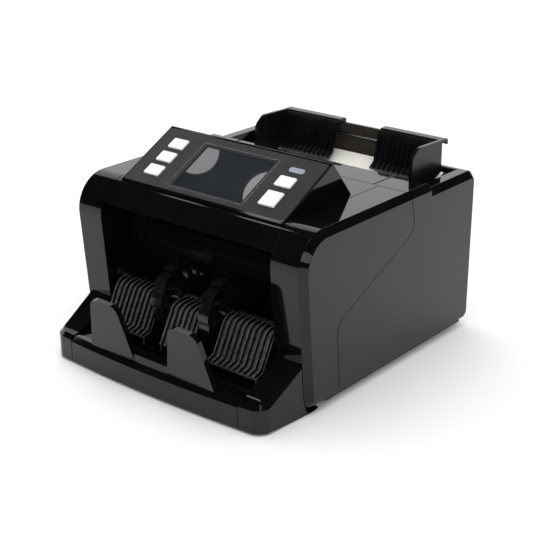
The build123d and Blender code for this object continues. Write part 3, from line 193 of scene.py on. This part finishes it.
def frosted_lamp_lens():
    """A frosted pale blue-grey lens over the unlit indicator lamp."""
    material, tree, shader, place = new_material(
        "frosted_lamp_lens", IOR=1.49, Transmission_Weight=0.15, Subsurface_Weight=0.2, Subsurface_Scale=0.002
    )
    two_tone(tree, shader, grain(tree, place, size_mm=3, detail=2.0), "#93a0ae", "#a9b4c0")
    vary_gloss(tree, shader, grain(tree, place, size_mm=0.3), low=0.22, high=0.32)
    return material


def galvanised_sheet(name, dark, light):
    """Zinc-plated folded steel: pale grey with rolling streaks and a soft spangle."""
    material, tree, shader, place = new_material(name, Metallic=1.0)
    streaks = grain(tree, place, size_mm=1.2, detail=4.0, roughness=0.6, stretch=(1, 1, 14))
    spangle = add_node(tree, "TexVoronoi", Vector=place, Scale=1 / (7 * MM)).outputs["Color"]
    two_tone(tree, shader, grain(tree, place, size_mm=9, detail=3.0), dark, light)
    mixed = add_node(tree, "Math", {"operation": "MULTIPLY"}, i0=streaks, i1=spangle).outputs[0]
    vary_gloss(tree, shader, mixed, low=0.26, high=0.45, start=0.1, stop=0.6)
    raise_surface(tree, shader, streaks, height_mm=0.006, strength=0.4)
    return material


def ground_shaft_steel():
    """Centreless-ground steel bar: bright, with fine rings round the bar."""
    material, tree, shader, place = new_material("ground_shaft_steel", Metallic=1.0)
    rings = grain(tree, place, size_mm=0.4, detail=4.0, roughness=0.6, stretch=(1, 0.04, 0.04))
    two_tone(tree, shader, rings, "#9a9da1", "#b9bcc0")
    vary_gloss(tree, shader, rings, low=0.16, high=0.3)
    raise_surface(tree, shader, rings, height_mm=0.004, strength=0.4)
    return material


def cream_chute_abs():
    """The hopper's pale chute: cream ABS, polished along its length by the notes that slide down it."""
    material, tree, shader, place = new_material("cream_chute_abs", IOR=1.5)
    tracks = grain(tree, place, size_mm=2.2, detail=4.0, roughness=0.6, stretch=(1, 0.05, 0.05))
    two_tone(tree, shader, tracks, "#f4f1ea", "#faf7f0")
    vary_gloss(tree, shader, tracks, low=0.28, high=0.42)
    raise_surface(tree, shader, tracks, height_mm=0.006, strength=0.4)
    return material


def roller_rubber():
    """Polyurethane rubber tread of the note rollers: matt, ground round, with a little paper dust."""
    material, tree, shader, place = new_material("roller_rubber", IOR=1.52, Roughness=0.75)
    dust = grain(tree, place, size_mm=3, detail=5.0, roughness=0.7)
    two_tone(tree, shader, dust, "#17171a", "#26262a")
    ground = grain(tree, place, size_mm=0.3, detail=3.0, roughness=0.6, stretch=(1, 0.1, 0.1))
    raise_surface(tree, shader, ground, height_mm=0.03, strength=0.5)
    return material


def foot_rubber():
    """Moulded nitrile rubber feet: dead matt, faintly pitted."""
    material, tree, shader, place = new_material("foot_rubber", IOR=1.52)
    pits = grain(tree, place, size_mm=0.6, detail=3.0)
    two_tone(tree, shader, pits, "#141415", "#1d1d1f")
    vary_gloss(tree, shader, pits, low=0.75, high=0.9)
    raise_surface(tree, shader, pits, height_mm=0.03, strength=0.5)
    return material


def plain_plastic(name, dark, light, rough_low, rough_high, size_mm):
    """Plain moulded plastic, rubber or a blackened coat, with a faint cloudy tone and tooth."""
    material, tree, shader, place = new_material(name, IOR=1.5)
    cloud = grain(tree, place, size_mm=size_mm, detail=3.0)
    two_tone(tree, shader, cloud, dark, light)
    vary_gloss(tree, shader, cloud, low=rough_low, high=rough_high)
    raise_surface(tree, shader, grain(tree, place, size_mm=size_mm / 8), height_mm=0.01, strength=0.4)
    return material


def brushed_motor_can():
    """Drawn and nickel-plated steel can: satin, with drawing lines along it."""
    material, tree, shader, place = new_material("brushed_motor_can", Metallic=1.0)
    lines = grain(tree, place, size_mm=0.5, detail=4.0, roughness=0.6, stretch=(0.03, 1, 1))
    two_tone(tree, shader, lines, "#8a8c8e", "#a9abad")
    vary_gloss(tree, shader, lines, low=0.24, high=0.4)
    raise_surface(tree, shader, lines, height_mm=0.005, strength=0.4)
    return material


def green_circuit_board():
    """Green solder mask over copper tracks: half gloss, with the tracks just visible under the mask."""
    material, tree, shader, place = new_material("green_circuit_board", IOR=1.52)
    tracks = add_node(tree, "TexBrick", Vector=place, Scale=1 / (6 * MM), Mortar_Size=0.05).outputs["Fac"]
    two_tone(tree, shader, tracks, "#0f3d26", "#1d5c38")
    vary_gloss(tree, shader, tracks, low=0.2, high=0.3, start=0.0, stop=1.0)
    raise_surface(tree, shader, tracks, height_mm=0.03, strength=0.5)
    return material


def sintered_bronze():
    """Oil-filled sintered bronze of the shaft bushes: dark, brownish and finely open-grained."""
    material, tree, shader, place = new_material("sintered_bronze_bush", Metallic=1.0)
    pores = grain(tree, place, size_mm=0.5, detail=4.0, roughness=0.7)
    two_tone(tree, shader, pores, "#4d3d2a", "#6f5a3f")
    vary_gloss(tree, shader, pores, low=0.4, high=0.6)
    raise_surface(tree, shader, pores, height_mm=0.015, strength=0.5)
    return material


def bright_chrome_trim():
    """Bright-plated trim wire round the display: a thin mirror line with faint drawing marks."""
    material, tree, shader, place = new_material("bright_chrome_trim", Metallic=1.0)
    marks = grain(tree, place, size_mm=0.6, detail=3.0)
    two_tone(tree, shader, marks, "#b9bcc0", "#cfd2d5")
    vary_gloss(tree, shader, marks, low=0.12, high=0.22)
    return material


def smoked_back_plate():
    """The hopper's smoke-brown back plate: a smooth moulding that mirrors the pale chute."""
    material, tree, shader, place = new_material("smoked_back_plate", IOR=1.5)
    cloud = grain(tree, place, size_mm=14, detail=2.0)
    two_tone(tree, shader, cloud, "#37332e", "#403b36")
    vary_gloss(tree, shader, cloud, low=0.08, high=0.14)
    return material


# painted highlight: the paler rib edges stand in for reflected light, not wear
def painted_highlight_rib_edge():
    """Black acetal painted paler and brighter than the rest of the rib: a painted highlight that stands in
    for the bright lines reflected by the rounded front and top rib edges.
    """
    material, tree, shader, place = new_material("painted_highlight_rib_edge", IOR=1.48)
    highlight_mottle = grain(tree, place, size_mm=2.5, detail=4.0, roughness=0.65)
    two_tone(tree, shader, highlight_mottle, "#36373a", "#606165")
    vary_gloss(tree, shader, highlight_mottle, low=0.1, high=0.22)
    return material


# ---------------------------------------------------------------- small tools for modelling
weld_distance = 2e-6          # metres: corners of a CAD mesh nearer than this are one
flat_angle = radians(0.4)     # CAD triangles that meet flatter than this are one face


def pick(*pieces):
    """Selects only these pieces, the last of them active."""
    bpy.ops.object.select_all(action="DESELECT")
    for piece in pieces:
        piece.select_set(True)
        bpy.context.view_layer.objects.active = piece


def edit(piece, select=True):
    """Opens a piece in edit mode with all of it selected, or none."""
    pick(piece)
    bpy.ops.object.mode_set(mode="EDIT")
    bpy.ops.mesh.select_all(action="SELECT" if select else "DESELECT")


def close_edit():
    """Leaves edit mode, which writes the shaped mesh back to its piece."""
    bpy.ops.object.mode_set(mode="OBJECT")


def settle(piece, name):
    """Puts a piece's object at the origin, unturned, with its place in its mesh."""
    piece.name = name
    pick(piece)
    bpy.ops.object.transform_apply(location=True, rotation=True, scale=True)
    return piece


def choose_faces(piece, wanted):
    """Selects, in edit mode, the faces that wanted(face) says yes to."""
    bpy.ops.mesh.select_mode(type="FACE")
    bpy.ops.mesh.select_all(action="DESELECT")
    bpy.ops.object.mode_set(mode="OBJECT")
    for face in piece.data.polygons:
        face.select = wanted(face)
    bpy.ops.object.mode_set(mode="EDIT")


def choose_edges(piece, wanted):
    """Selects, in edit mode, the edges whose two faces wanted(one, other) says yes to."""
    bpy.ops.mesh.select_mode(type="EDGE")
    bpy.ops.mesh.select_all(action="DESELECT")
    bpy.ops.object.mode_set(mode="OBJECT")
    mesh = piece.data
    sides = {}
    for face in mesh.polygons:
        for key in face.edge_keys:
            sides.setdefault(key, []).append(face)
    for edge in mesh.edges:
        pair = sides.get(edge.key, [])
        edge.select = len(pair) == 2 and wanted(*pair)
    bpy.ops.object.mode_set(mode="EDIT")


def sink(depth_mm):
    """Pushes the selected faces in along their normals, with walls round them."""
    bpy.ops.mesh.extrude_region_shrink_fatten(
        MESH_OT_extrude_region={"use_normal_flip": False},
        TRANSFORM_OT_shrink_fatten={"value": -depth_mm * MM},
    )


def fitted(piece, body, slot, finish, *stands_for):
    """Hands a finished piece to its body, with its finish and the CAD nodes that it stands for."""
    piece.data.materials.clear()
    piece.data.materials.append(finish)
    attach(piece, body)
    if stands_for:
        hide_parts(*stands_for)
    return piece


def join(pieces, name):
    """Makes one mesh of several."""
    pick(*pieces)
    bpy.ops.object.join()
    made = bpy.context.object
    made.name = name
    return made


def soften(piece, width_mm, segments=2):
    """Rounds a piece's sharp edges as its mould does, and shades it smooth between them."""
    pick(piece)
    rounding = piece.modifiers.new("edge_radius", "BEVEL")
    rounding.width = width_mm * MM
    rounding.segments = segments
    rounding.limit_method = "ANGLE"
    rounding.angle_limit = radians(32)
    rounding.miter_outer = "MITER_ARC"
    rounding.harden_normals = False
    bpy.ops.object.modifier_apply(modifier=rounding.name)
    bpy.ops.object.shade_smooth_by_angle(angle=radians(35))
    flats = piece.modifiers.new("flat_faces", "WEIGHTED_NORMAL")
    flats.keep_sharp = True
    flats.weight = 80
    bpy.ops.object.modifier_apply(modifier=flats.name)


def refined(node, width_mm, finish, slot, shape=None):
    """A finished piece that stands for a CAD node: its merged copy, shaped further, with rounded edges."""
    piece = nodes[node].copy()
    piece.data = nodes[node].data.copy()
    piece.name = node + "_moulded"
    for key in list(piece.keys()):
        del piece[key]
    piece.parent = None
    bpy.context.collection.objects.link(piece)
    edit(piece)
    bpy.ops.mesh.customdata_custom_splitnormals_clear()
    bpy.ops.mesh.remove_doubles(threshold=weld_distance)
    bpy.ops.mesh.dissolve_limited(angle_limit=flat_angle)
    if shape:
        shape(piece)
    close_edit()
    soften(piece, width_mm)
    return fitted(piece, body_of[node], slot, finish, node)


def dress(finish, *names):
    """Gives CAD nodes whose shape is right a finished material."""
    for name in names:
        node = nodes[name]
        if not node.material_slots:
            node.data.materials.append(finish)
        for place in node.material_slots:
            place.material = finish


# ---------------------------------------------------------------- which finish each piece has
gloss = polished_black_abs()
panel = satin_black_overlay()
texture = textured_black_abs()
pom = moulded_black_pom()
key_white = white_key_abs()
glass = tinted_display_window()
lamp_lens = frosted_lamp_lens()
plated = galvanised_sheet("galvanised_steel_sheet", "#8f9295", "#a9acaf")
zinc = galvanised_sheet("bright_zinc_screws", "#8b8d90", "#b4b6b8")
shaft_steel = ground_shaft_steel()
cream = cream_chute_abs()
tread = roller_rubber()
foot = foot_rubber()
bronze = sintered_bronze()
chrome = bright_chrome_trim()
smoked = smoked_back_plate()
# the combs' painted rib-edge highlight
rib_edge_highlight = painted_highlight_rib_edge()
can = brushed_motor_can()
belt_rubber = plain_plastic("neoprene_timing_belt", "#131314", "#1c1c1e", 0.6, 0.75, 3)
board = green_circuit_board()
sensor_plastic = plain_plastic("smoked_sensor_housing", "#2a1c14", "#3a281c", 0.2, 0.35, 3)
screw_black = plain_plastic("blackened_screw_steel", "#1a1a1b", "#2a2a2b", 0.3, 0.45, 2)

finish_of_slot = {
    "gloss_shell": gloss, "satin_panel": panel, "black_plastic": texture, "white_key": key_white,
    "window": glass, "lamp": lamp_lens, "frame_steel": plated, "shaft_steel": shaft_steel, "chute": cream,
    "roller_rubber": tread, "foot_rubber": foot, "bush": bronze, "motor_can": can, "belt": belt_rubber,
    "circuit_board": board, "sensor": sensor_plastic, "screw_steel": screw_black, "tie_steel": zinc,
}

slot_nodes = {
    "gloss_shell": [
        "left_front_cover", "right_front_cover", "left_rear_cover", "right_rear_cover", "front_cover",
        "top_plate", "front_tray", "left_tray_arm", "right_tray_arm", "note_stops",
    ],
    "satin_panel": ["display_panel", "screen_bezel"],
    "black_plastic": [
        "base_pan", "rear_panel", "upper_guide", "lower_guide", "cavity_back", "outlet_hood", "hopper_back",
        "left_hopper_guide", "right_hopper_guide", "power_inlet", "power_switch", "switch_rocker",
        "left_comb", "centre_comb", "right_comb", "left_stacker_wheel", "right_stacker_wheel",
    ],
    "white_key": ["left_upper_key", "left_middle_key", "left_lower_key", "right_upper_key", "start_key"],
    "window": ["screen_window"],
    "lamp": ["indicator_window"],
    "frame_steel": ["left_side_frame", "right_side_frame"],
    "shaft_steel": [
        "stacker_shaft", "exit_shaft", "feed_shaft", "pickup_shaft", "pinch_shaft", "motor_pulley",
    ],
    "chute": ["hopper_chute"],
    "roller_rubber": ["exit_rollers", "pinch_rollers", "feed_rollers", "pickup_rollers"],
    "foot_rubber": ["feet"],
    "bush": ["shaft_bushes"],
    "motor_can": ["drive_motor"],
    "belt": ["main_belt", "right_belts"],
    "circuit_board": ["display_board", "main_board", "power_supply"],
    "sensor": ["note_sensors"],
    "screw_steel": ["case_screws"],
    "tie_steel": ["tie_rods"],
}
for slot_name, names in slot_nodes.items():
    dress(finish_of_slot[slot_name], *names)


# ---------------------------------------------------------------- moulded pieces, refined from the CAD
cover_edge = 0.6          # edge radii of the moulds, in millimetres
panel_edge = 0.4
key_edge = 0.3
fitting_edge = 0.25
rib_edge = 0.22
arm_rim_band = 3.4        # the sloping band along the tray arms' rims
key_top_scale = 0.86      # a key's top inside its rim, against the whole top
key_dish_scale = 0.9      # the dish's floor, against that
key_dish_depth = 0.25

press = Vector(joints["start_button_press"]["axis"])
console_out = -press


def dish_keytop(key):
    """Sinks a key's top a little inside a narrow rim, for the finger to find."""
    def looks_out(face):
        return face.normal.dot(console_out) > 0.99

    close_edit()
    highest = max(face.center.dot(console_out) for face in key.data.polygons if looks_out(face))
    bpy.ops.object.mode_set(mode="EDIT")
    choose_faces(key, lambda face: looks_out(face) and face.center.dot(console_out) > highest - 0.02 * MM)
    for scale in (key_top_scale, key_dish_scale):
        bpy.ops.mesh.extrude_region_move()
        bpy.ops.transform.resize(value=(scale, scale, scale))
    bpy.ops.transform.translate(value=press * key_dish_depth * MM)


def bevel_arm_rim(arm):
    """Cuts the wide sloping band along a tray arm's outer and front top edges."""
    side = 1 if arm.name.startswith("right") else -1

    def on_outer_rim(one, other):
        wall, top = sorted((one, other), key=lambda face: face.normal.z)
        upright = abs(wall.normal.z) < 0.2
        outward = wall.normal.x * side > 0.25 or wall.normal.y < -0.5
        return top.normal.z > 0.45 and upright and outward

    choose_edges(arm, on_outer_rim)
    bpy.ops.mesh.bevel(offset=arm_rim_band * MM, segments=1, affect="EDGES", clamp_overlap=False)


shells = (
    "left_front_cover", "right_front_cover", "left_rear_cover", "right_rear_cover", "front_cover",
    "top_plate", "front_tray", "note_stops",
)
power_fittings = ("power_inlet", "power_switch", "switch_rocker", "rear_panel")
refinements = (    # the nodes, their edges' radius, finish and slot, and what shapes them further
    (shells, cover_edge, gloss, "gloss_shell", None),
    (("left_tray_arm", "right_tray_arm"), cover_edge, gloss, "gloss_shell", bevel_arm_rim),
    (slot_nodes["white_key"], key_edge, key_white, "white_key", dish_keytop),
    (("display_panel", "screen_bezel"), panel_edge, panel, "satin_panel", None),
    (("left_hopper_guide", "right_hopper_guide"), panel_edge, texture, "black_plastic", None),
    (("hopper_back",), panel_edge, smoked, "black_plastic", None),
    (power_fittings, fitting_edge, texture, "black_plastic", None),
)
for members, edge_radius, finish, slot, shape in refinements:
    for member in members:
        refined(member, edge_radius, finish, slot, shape)

# each comb's ribs are rounded, and their faces to the front and top are painted paler: a painted highlight
# along the rib edges
for comb_node in ("left_comb", "centre_comb", "right_comb"):
    comb = refined(comb_node, rib_edge, pom, "black_plastic")
    comb.data.materials.append(rib_edge_highlight)
    for face in comb.data.polygons:
        rib_face = abs(face.normal.x) < 0.05
        highlight_side = face.normal.y < 0.15 and face.normal.z > -0.6
        if rib_face and highlight_side:
            # these front and top rib faces get the painted highlight colour
            face.material_index = 1


# ---------------------------------------------------------------- pieces modelled by hand
shaft_radius = 4.0          # all in millimetres
end_dish = 1.2
groove_half_width = 0.35
groove_depth = 0.5


def turned_ring(name, centre, radius, width, groove_count=0):
    """A ring on an axle along X, with dished ends, a collar round its bore and grooves round its tread."""
    bpy.ops.object.select_all(action="DESELECT")
    bpy.ops.mesh.primitive_cylinder_add(
        vertices=64, radius=radius * MM, depth=width * MM, location=centre, rotation=(0, radians(90), 0)
    )
    ring = settle(bpy.context.object, name)
    edit(ring)
    choose_faces(ring, lambda face: abs(face.normal.x) > 0.9)
    rim_share, dish_share, collar_share = 0.25, 0.55, 0.2
    bpy.ops.mesh.inset(thickness=(radius - shaft_radius) * rim_share * MM)
    sink(end_dish)
    bpy.ops.mesh.inset(thickness=(radius - shaft_radius) * dish_share * MM)
    sink(-0.6 * end_dish)
    bpy.ops.mesh.inset(thickness=(radius - shaft_radius) * collar_share * MM)
    bpy.ops.mesh.bridge_edge_loops()
    if groove_count:
        pitch = width / (groove_count + 1)
        grooves = [-width / 2 + (index + 1) * pitch for index in range(groove_count)]
        for groove in grooves:
            for side in (-groove_half_width, groove_half_width):
                bpy.ops.mesh.select_all(action="SELECT")
                bpy.ops.mesh.bisect(plane_co=(centre[0] + (groove + side) * MM, 0, 0), plane_no=(1, 0, 0))
        stations = [centre[0] + groove * MM for groove in grooves]
        axle = Vector((0, centre[1], centre[2]))

        def in_a_groove(face):
            from_axle = (Vector((0, face.center.y, face.center.z)) - axle).length
            from_groove = min(abs(face.center.x - station) for station in stations)
            return from_groove < 0.1 * MM and from_axle > 0.9 * radius * MM

        choose_faces(ring, in_a_groove)
        sink(groove_depth)
    close_edit()
    return ring


def spindle(joint_name):
    """The Y and Z of a roller's or wheel's axle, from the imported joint."""
    return tuple(joints[joint_name]["pos_m"][1:])


def vane_arc(hub, rim, sweep):
    """Middle, start and angle of the arc that a vane follows, in the wheel's own Y and Z.

    The arc runs from the hub at a, through b, which sets how much it curves, to the rim at c.
    """
    a = Vector((hub, 0))
    b = Vector((0.72 * rim, 0.2 * rim))
    c = Vector((rim * cos(sweep), rim * sin(sweep)))
    d = 2 * (a.x * (b.y - c.y) + b.x * (c.y - a.y) + c.x * (a.y - b.y))
    squares = [p.length_squared for p in (a, b, c)]
    y = (squares[0] * (b.y - c.y) + squares[1] * (c.y - a.y) + squares[2] * (a.y - b.y)) / d
    z = (squares[0] * (c.x - b.x) + squares[1] * (a.x - c.x) + squares[2] * (b.x - a.x)) / d
    middle = Vector((y, z))
    return middle, a, (a - middle).angle_signed(c - middle)


hub_radius = 11.0           # all in millimetres
vane_root = 10.0            # the vanes start inside the hub
vane_count = 12
vane_thickness = 1.25
vane_width_share = 0.92     # of the hub's width
vane_sweep = radians(62)
rim_clearance = 0.3         # the vanes end this far inside the CAD wheel


def stacker_wheel(node):
    """A stacker wheel: a turned hub with twelve thin curved vanes that lower each note onto the stack."""
    low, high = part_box(node)
    centre = (Vector(low) + Vector(high)) / 2
    width = high[0] - low[0]
    rim = (high[1] - low[1]) / 2 - rim_clearance * MM
    axle = spindle("stacker_spin")
    hub = turned_ring(node + "_hub", (centre.x, *axle), hub_radius, width / MM)
    middle, start, angle = vane_arc(vane_root * MM, rim, vane_sweep)
    arm = start - middle
    bpy.ops.object.select_all(action="DESELECT")
    bpy.ops.mesh.primitive_plane_add(
        size=1, location=(centre.x, axle[0] + start.x, axle[1] + start.y),
        rotation=(atan2(arm.y, arm.x), 0, 0)
    )
    vane = bpy.context.object
    vane.scale = (width * vane_width_share, vane_thickness * MM, 1)
    settle(vane, node + "_vane")
    edit(vane)
    bpy.ops.mesh.spin(
        steps=9, angle=angle, center=(centre.x, axle[0] + middle.x, axle[1] + middle.y), axis=(1, 0, 0)
    )
    bpy.ops.mesh.select_all(action="SELECT")
    bpy.ops.mesh.normals_make_consistent(inside=False)
    close_edit()
    vanes = []
    for index in range(vane_count):
        each = vane.copy()
        each.data = vane.data.copy()
        bpy.context.collection.objects.link(each)
        edit(each)
        bpy.ops.transform.rotate(
            value=2 * pi * index / vane_count, orient_axis="X", center_override=(centre.x, *axle)
        )
        close_edit()
        vanes.append(each)
    bpy.data.objects.remove(vane)
    wheel = join(vanes + [hub], node + "_moulded")
    soften(wheel, width_mm=0.2)
    fitted(wheel, "stacker", "black_plastic", pom, node)


for wheel_node in ("left_stacker_wheel", "right_stacker_wheel"):
    stacker_wheel(wheel_node)


def rubber_rollers(node, joint_name, places, radius, width):
    """A set of note rollers: moulded rubber tyres with grooves round the tread and a dished hub."""
    axle = spindle(joint_name)
    groove_count = max(3, int(width / 4))
    tyres = [turned_ring("tyre", (x * MM, *axle), radius, width, groove_count) for x in places]
    rollers = join(tyres, node + "_moulded")
    soften(rollers, width_mm=0.3)
    fitted(rollers, body_of[node], "roller_rubber", tread, node)


roller_sets = (    # the node, its joint, and in millimetres its tyres' places in X, their radius and width
    ("exit_rollers", "exit_spin", (-58, -22, 22, 58), 11.0, 14.0),
    ("pinch_rollers", "pinch_spin", (-58, -22, 22, 58), 9.0, 10.0),
    ("feed_rollers", "feed_spin", (-36, 0, 36), 19.0, 22.0),
    ("pickup_rollers", "pickup_spin", (-30, 30), 16.2, 16.0),
)
for roller_set in roller_sets:
    rubber_rollers(*roller_set)


foot_tread_radius = 7.2     # all in millimetres
foot_top_radius = 8.0
foot_ring = 3.2             # the tread left round the well
foot_well_depth = 2.4
screw_head_radius = 3.1
screw_head_height = 1.4
screw_head_middle = 1.75    # above the ground
drive_ledge = 0.7           # the head's rounded edge, and then its flat, round the drive recess
drive_flat = 0.9
drive_depth = 0.8


def rubber_foot(x, y, height):
    """A rubber foot: a low cone with a rounded tread and a well for its screw."""
    bpy.ops.object.select_all(action="DESELECT")
    bpy.ops.mesh.primitive_cone_add(
        vertices=48, radius1=foot_tread_radius * MM, radius2=foot_top_radius * MM, depth=height,
        location=(x, y, height / 2)
    )
    piece = settle(bpy.context.object, "rubber_foot")
    edit(piece)
    choose_faces(piece, lambda face: face.normal.z < -0.9)
    bpy.ops.mesh.inset(thickness=foot_ring * MM)
    sink(foot_well_depth)
    close_edit()
    return piece


def foot_screw(x, y):
    """The pan-head screw up in a foot's well, with its drive recess."""
    bpy.ops.object.select_all(action="DESELECT")
    bpy.ops.mesh.primitive_cylinder_add(
        vertices=36, radius=screw_head_radius * MM, depth=screw_head_height * MM,
        location=(x, y, screw_head_middle * MM)
    )
    piece = settle(bpy.context.object, "foot_screw")
    edit(piece)
    choose_faces(piece, lambda face: face.normal.z < -0.9)
    bpy.ops.mesh.inset(thickness=drive_ledge * MM)
    bpy.ops.mesh.inset(thickness=drive_flat * MM)
    sink(drive_depth)
    close_edit()
    return piece


feet_low, feet_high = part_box("feet")
foot_places = [
    (x, y)
    for x in (feet_low[0] + foot_top_radius * MM, feet_high[0] - foot_top_radius * MM)
    for y in (feet_low[1] + foot_top_radius * MM, feet_high[1] - foot_top_radius * MM)
]
feet_piece = join([rubber_foot(x, y, feet_high[2]) for x, y in foot_places], "feet_moulded")
soften(feet_piece, width_mm=0.5, segments=3)
fitted(feet_piece, "machine", "foot_rubber", foot, "feet")
foot_screws = join([foot_screw(x, y) for x, y in foot_places], "foot_screws")
soften(foot_screws, width_mm=0.25, segments=3)
fitted(foot_screws, "machine", "screw_steel", screw_black)


# ---------------------------------------------------------------- display trim
console_tilt = atan2(-console_out.y, console_out.z)
bezel_low, bezel_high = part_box("screen_bezel")
bezel_middle = (Vector(bezel_low) + Vector(bezel_high)) / 2


def wire_frame(name, middle, wide, high, corner, wire_width, wire_height, turn):
    """A thin round-cornered frame, wide by high outside, in millimetres, standing up from its plane."""
    bpy.ops.object.select_all(action="DESELECT")
    bpy.ops.mesh.primitive_plane_add(size=1, location=middle, rotation=(turn, 0, 0))
    piece = bpy.context.object
    piece.scale = (wide * MM, high * MM, 1)
    settle(piece, name)
    edit(piece)
    bpy.ops.mesh.bevel(affect="VERTICES", offset=corner * MM, segments=5)
    choose_faces(piece, lambda face: face.area > 100 * MM * MM)
    bpy.ops.mesh.inset(thickness=wire_width * MM)
    bpy.ops.mesh.delete(type="FACE")
    bpy.ops.mesh.select_all(action="SELECT")
    bpy.ops.mesh.extrude_region_shrink_fatten(TRANSFORM_OT_shrink_fatten={"value": wire_height * MM})
    bpy.ops.mesh.select_all(action="SELECT")
    bpy.ops.mesh.normals_make_consistent(inside=False)
    close_edit()
    return piece


trim_lift = 0.55    # millimetres out from the bezel's middle
trim = wire_frame(
    "display_trim_wire", bezel_middle + console_out * trim_lift * MM, wide=82.2, high=55.2, corner=2.2,
    wire_width=0.45, wire_height=0.35, turn=console_tilt
)
soften(trim, width_mm=0.12)
fitted(trim, "machine", "shaft_steel", chrome)


# ---------------------------------------------------------------- hopper rail
# a thin steel rail across the front of the hopper's back bar
rail_radius = 1.1 * MM
rail_shorter = 80 * MM      # than the bar
rail_drop = 9.6 * MM        # below the bar's top
rail_end_rim = 0.3 * MM
rail_end_dish = 0.4         # millimetres
bar_low, bar_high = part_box("hopper_back")
bpy.ops.object.select_all(action="DESELECT")
bpy.ops.mesh.primitive_cylinder_add(
    vertices=32, radius=rail_radius, depth=bar_high[0] - bar_low[0] - rail_shorter,
    location=(0, bar_low[1] - rail_radius, bar_high[2] - rail_drop), rotation=(0, radians(90), 0)
)
rail = settle(bpy.context.object, "hopper_guide_rail")
edit(rail)
choose_faces(rail, lambda face: abs(face.normal.x) > 0.9)
bpy.ops.mesh.inset(thickness=rail_end_rim)
sink(rail_end_dish)
close_edit()
soften(rail, width_mm=0.15)
fitted(rail, "machine", "shaft_steel", chrome)


# ---------------------------------------------------------------- studio and camera
def stage_plane(name, size, place, turn, finish):
    """A flat wall, card or floor of the studio."""
    bpy.ops.object.select_all(action="DESELECT")
    bpy.ops.mesh.primitive_plane_add(size=1, location=place, rotation=turn)
    plane = bpy.context.object
    plane.name = name
    plane.scale = (*size, 1)
    plane.data.materials.append(finish)


def soft_light(name, place, target, size, power, shape="SQUARE"):
    """A softbox or umbrella, size metres across and power watts, aimed from its place at a target."""
    data = bpy.data.lights.new(name, "AREA")
    data.shape = shape
    data.size = size
    data.energy = power
    light = bpy.data.objects.new(name, data)
    light.location = place
    light.rotation_euler = (Vector(target) - Vector(place)).to_track_quat("-Z", "Y").to_euler()
    bpy.context.scene.collection.objects.link(light)
    return light


def white_paper():
    """The paper that the machine stands on: matt and bright."""
    material, tree, shader, place = new_material("white_paper_sweep", Roughness=0.9, Specular_IOR_Level=0.2)
    two_tone(tree, shader, grain(tree, place, size_mm=400, detail=2.0), "#fbfbfb", "#ffffff")
    return material


def glowing_wall(name, brightness):
    """A pale studio wall or card, which lights the machine softly."""
    material, _, shader, _ = new_material(name, Roughness=1.0, Specular_IOR_Level=0.0)
    shader.inputs["Base Color"].default_value = hex_colour("#101010")
    shader.inputs["Emission Color"].default_value = hex_colour("#ffffff")
    shader.inputs["Emission Strength"].default_value = brightness
    return material


stage_plane("studio_floor", (12, 12), (0, 0, 0), (0, 0, 0), white_paper())
bpy.ops.object.select_all(action="DESELECT")
bpy.ops.mesh.primitive_uv_sphere_add(segments=64, ring_count=32, radius=5.5, location=(0, 0, 0))
room = bpy.context.object
room.name = "studio_room"
edit(room)
bpy.ops.mesh.flip_normals()
close_edit()
bpy.ops.object.shade_smooth()
room.data.materials.append(glowing_wall("pale_studio_wall", 0.85))
room.visible_glossy = False

world = bpy.data.worlds.new("dark_studio")
world.use_nodes = True
world.node_tree.nodes["Background"].inputs["Color"].default_value = hex_colour("#202020")
world.node_tree.nodes["Background"].inputs["Strength"].default_value = 1.0
bpy.context.scene.world = world

camera_data = bpy.data.cameras.new("front_right_camera")
camera_data.lens = 84.9
camera_data.sensor_width = 36
camera = bpy.data.objects.new("front_right_camera", camera_data)
camera.location = (0.65442, -0.78304, 0.47638)
camera.rotation_euler = (radians(90 - 21.714), 0, radians(39.599))
bpy.context.scene.collection.objects.link(camera)
bpy.context.scene.camera = camera
bpy.context.scene.view_settings.view_transform = "Standard"


def behind_view(distance, height):
    """A place straight behind the machine as the camera sees it."""
    return (-distance * sin(camera.rotation_euler.z), distance * cos(camera.rotation_euler.z), height)


facing_camera = (radians(90), 0, camera.rotation_euler.z)
facing_right = (radians(90), 0, radians(90))
back_glow = glowing_wall("bright_back_wall", 1.3)
stage_plane("back_wall", (7.0, 3.4), behind_view(3.0, 1.5), facing_camera, back_glow)
left_glow = glowing_wall("left_reflector", 1.6)
stage_plane("left_card", (1.6, 1.3), (-1.7, -0.1, 0.75), facing_right, left_glow)
soft_light("upper_umbrella", (-1.121, 0.257, 1.388), (-0.038, -0.028, 0.176), 0.1, 0.06, "DISK")
soft_light("lower_umbrella", (-0.904, 0.200, 1.415), (0.054, -0.060, 0.159), 0.115, 0.1, "DISK")
ceiling = soft_light("ceiling_softbox", (-1.2, 0.6, 2.2), (0, 0, 0.1), 2.0, 12)
ceiling.visible_glossy = False
soft_light("overhead_softbox", (0.48, -0.3, 1.45), (0.0, -0.05, 0.1), 0.85, 4.4)
soft_light("front_softbox", (1.2, -0.8, 0.6), (0.0, -0.1, 0.06), 0.5, 1.6)
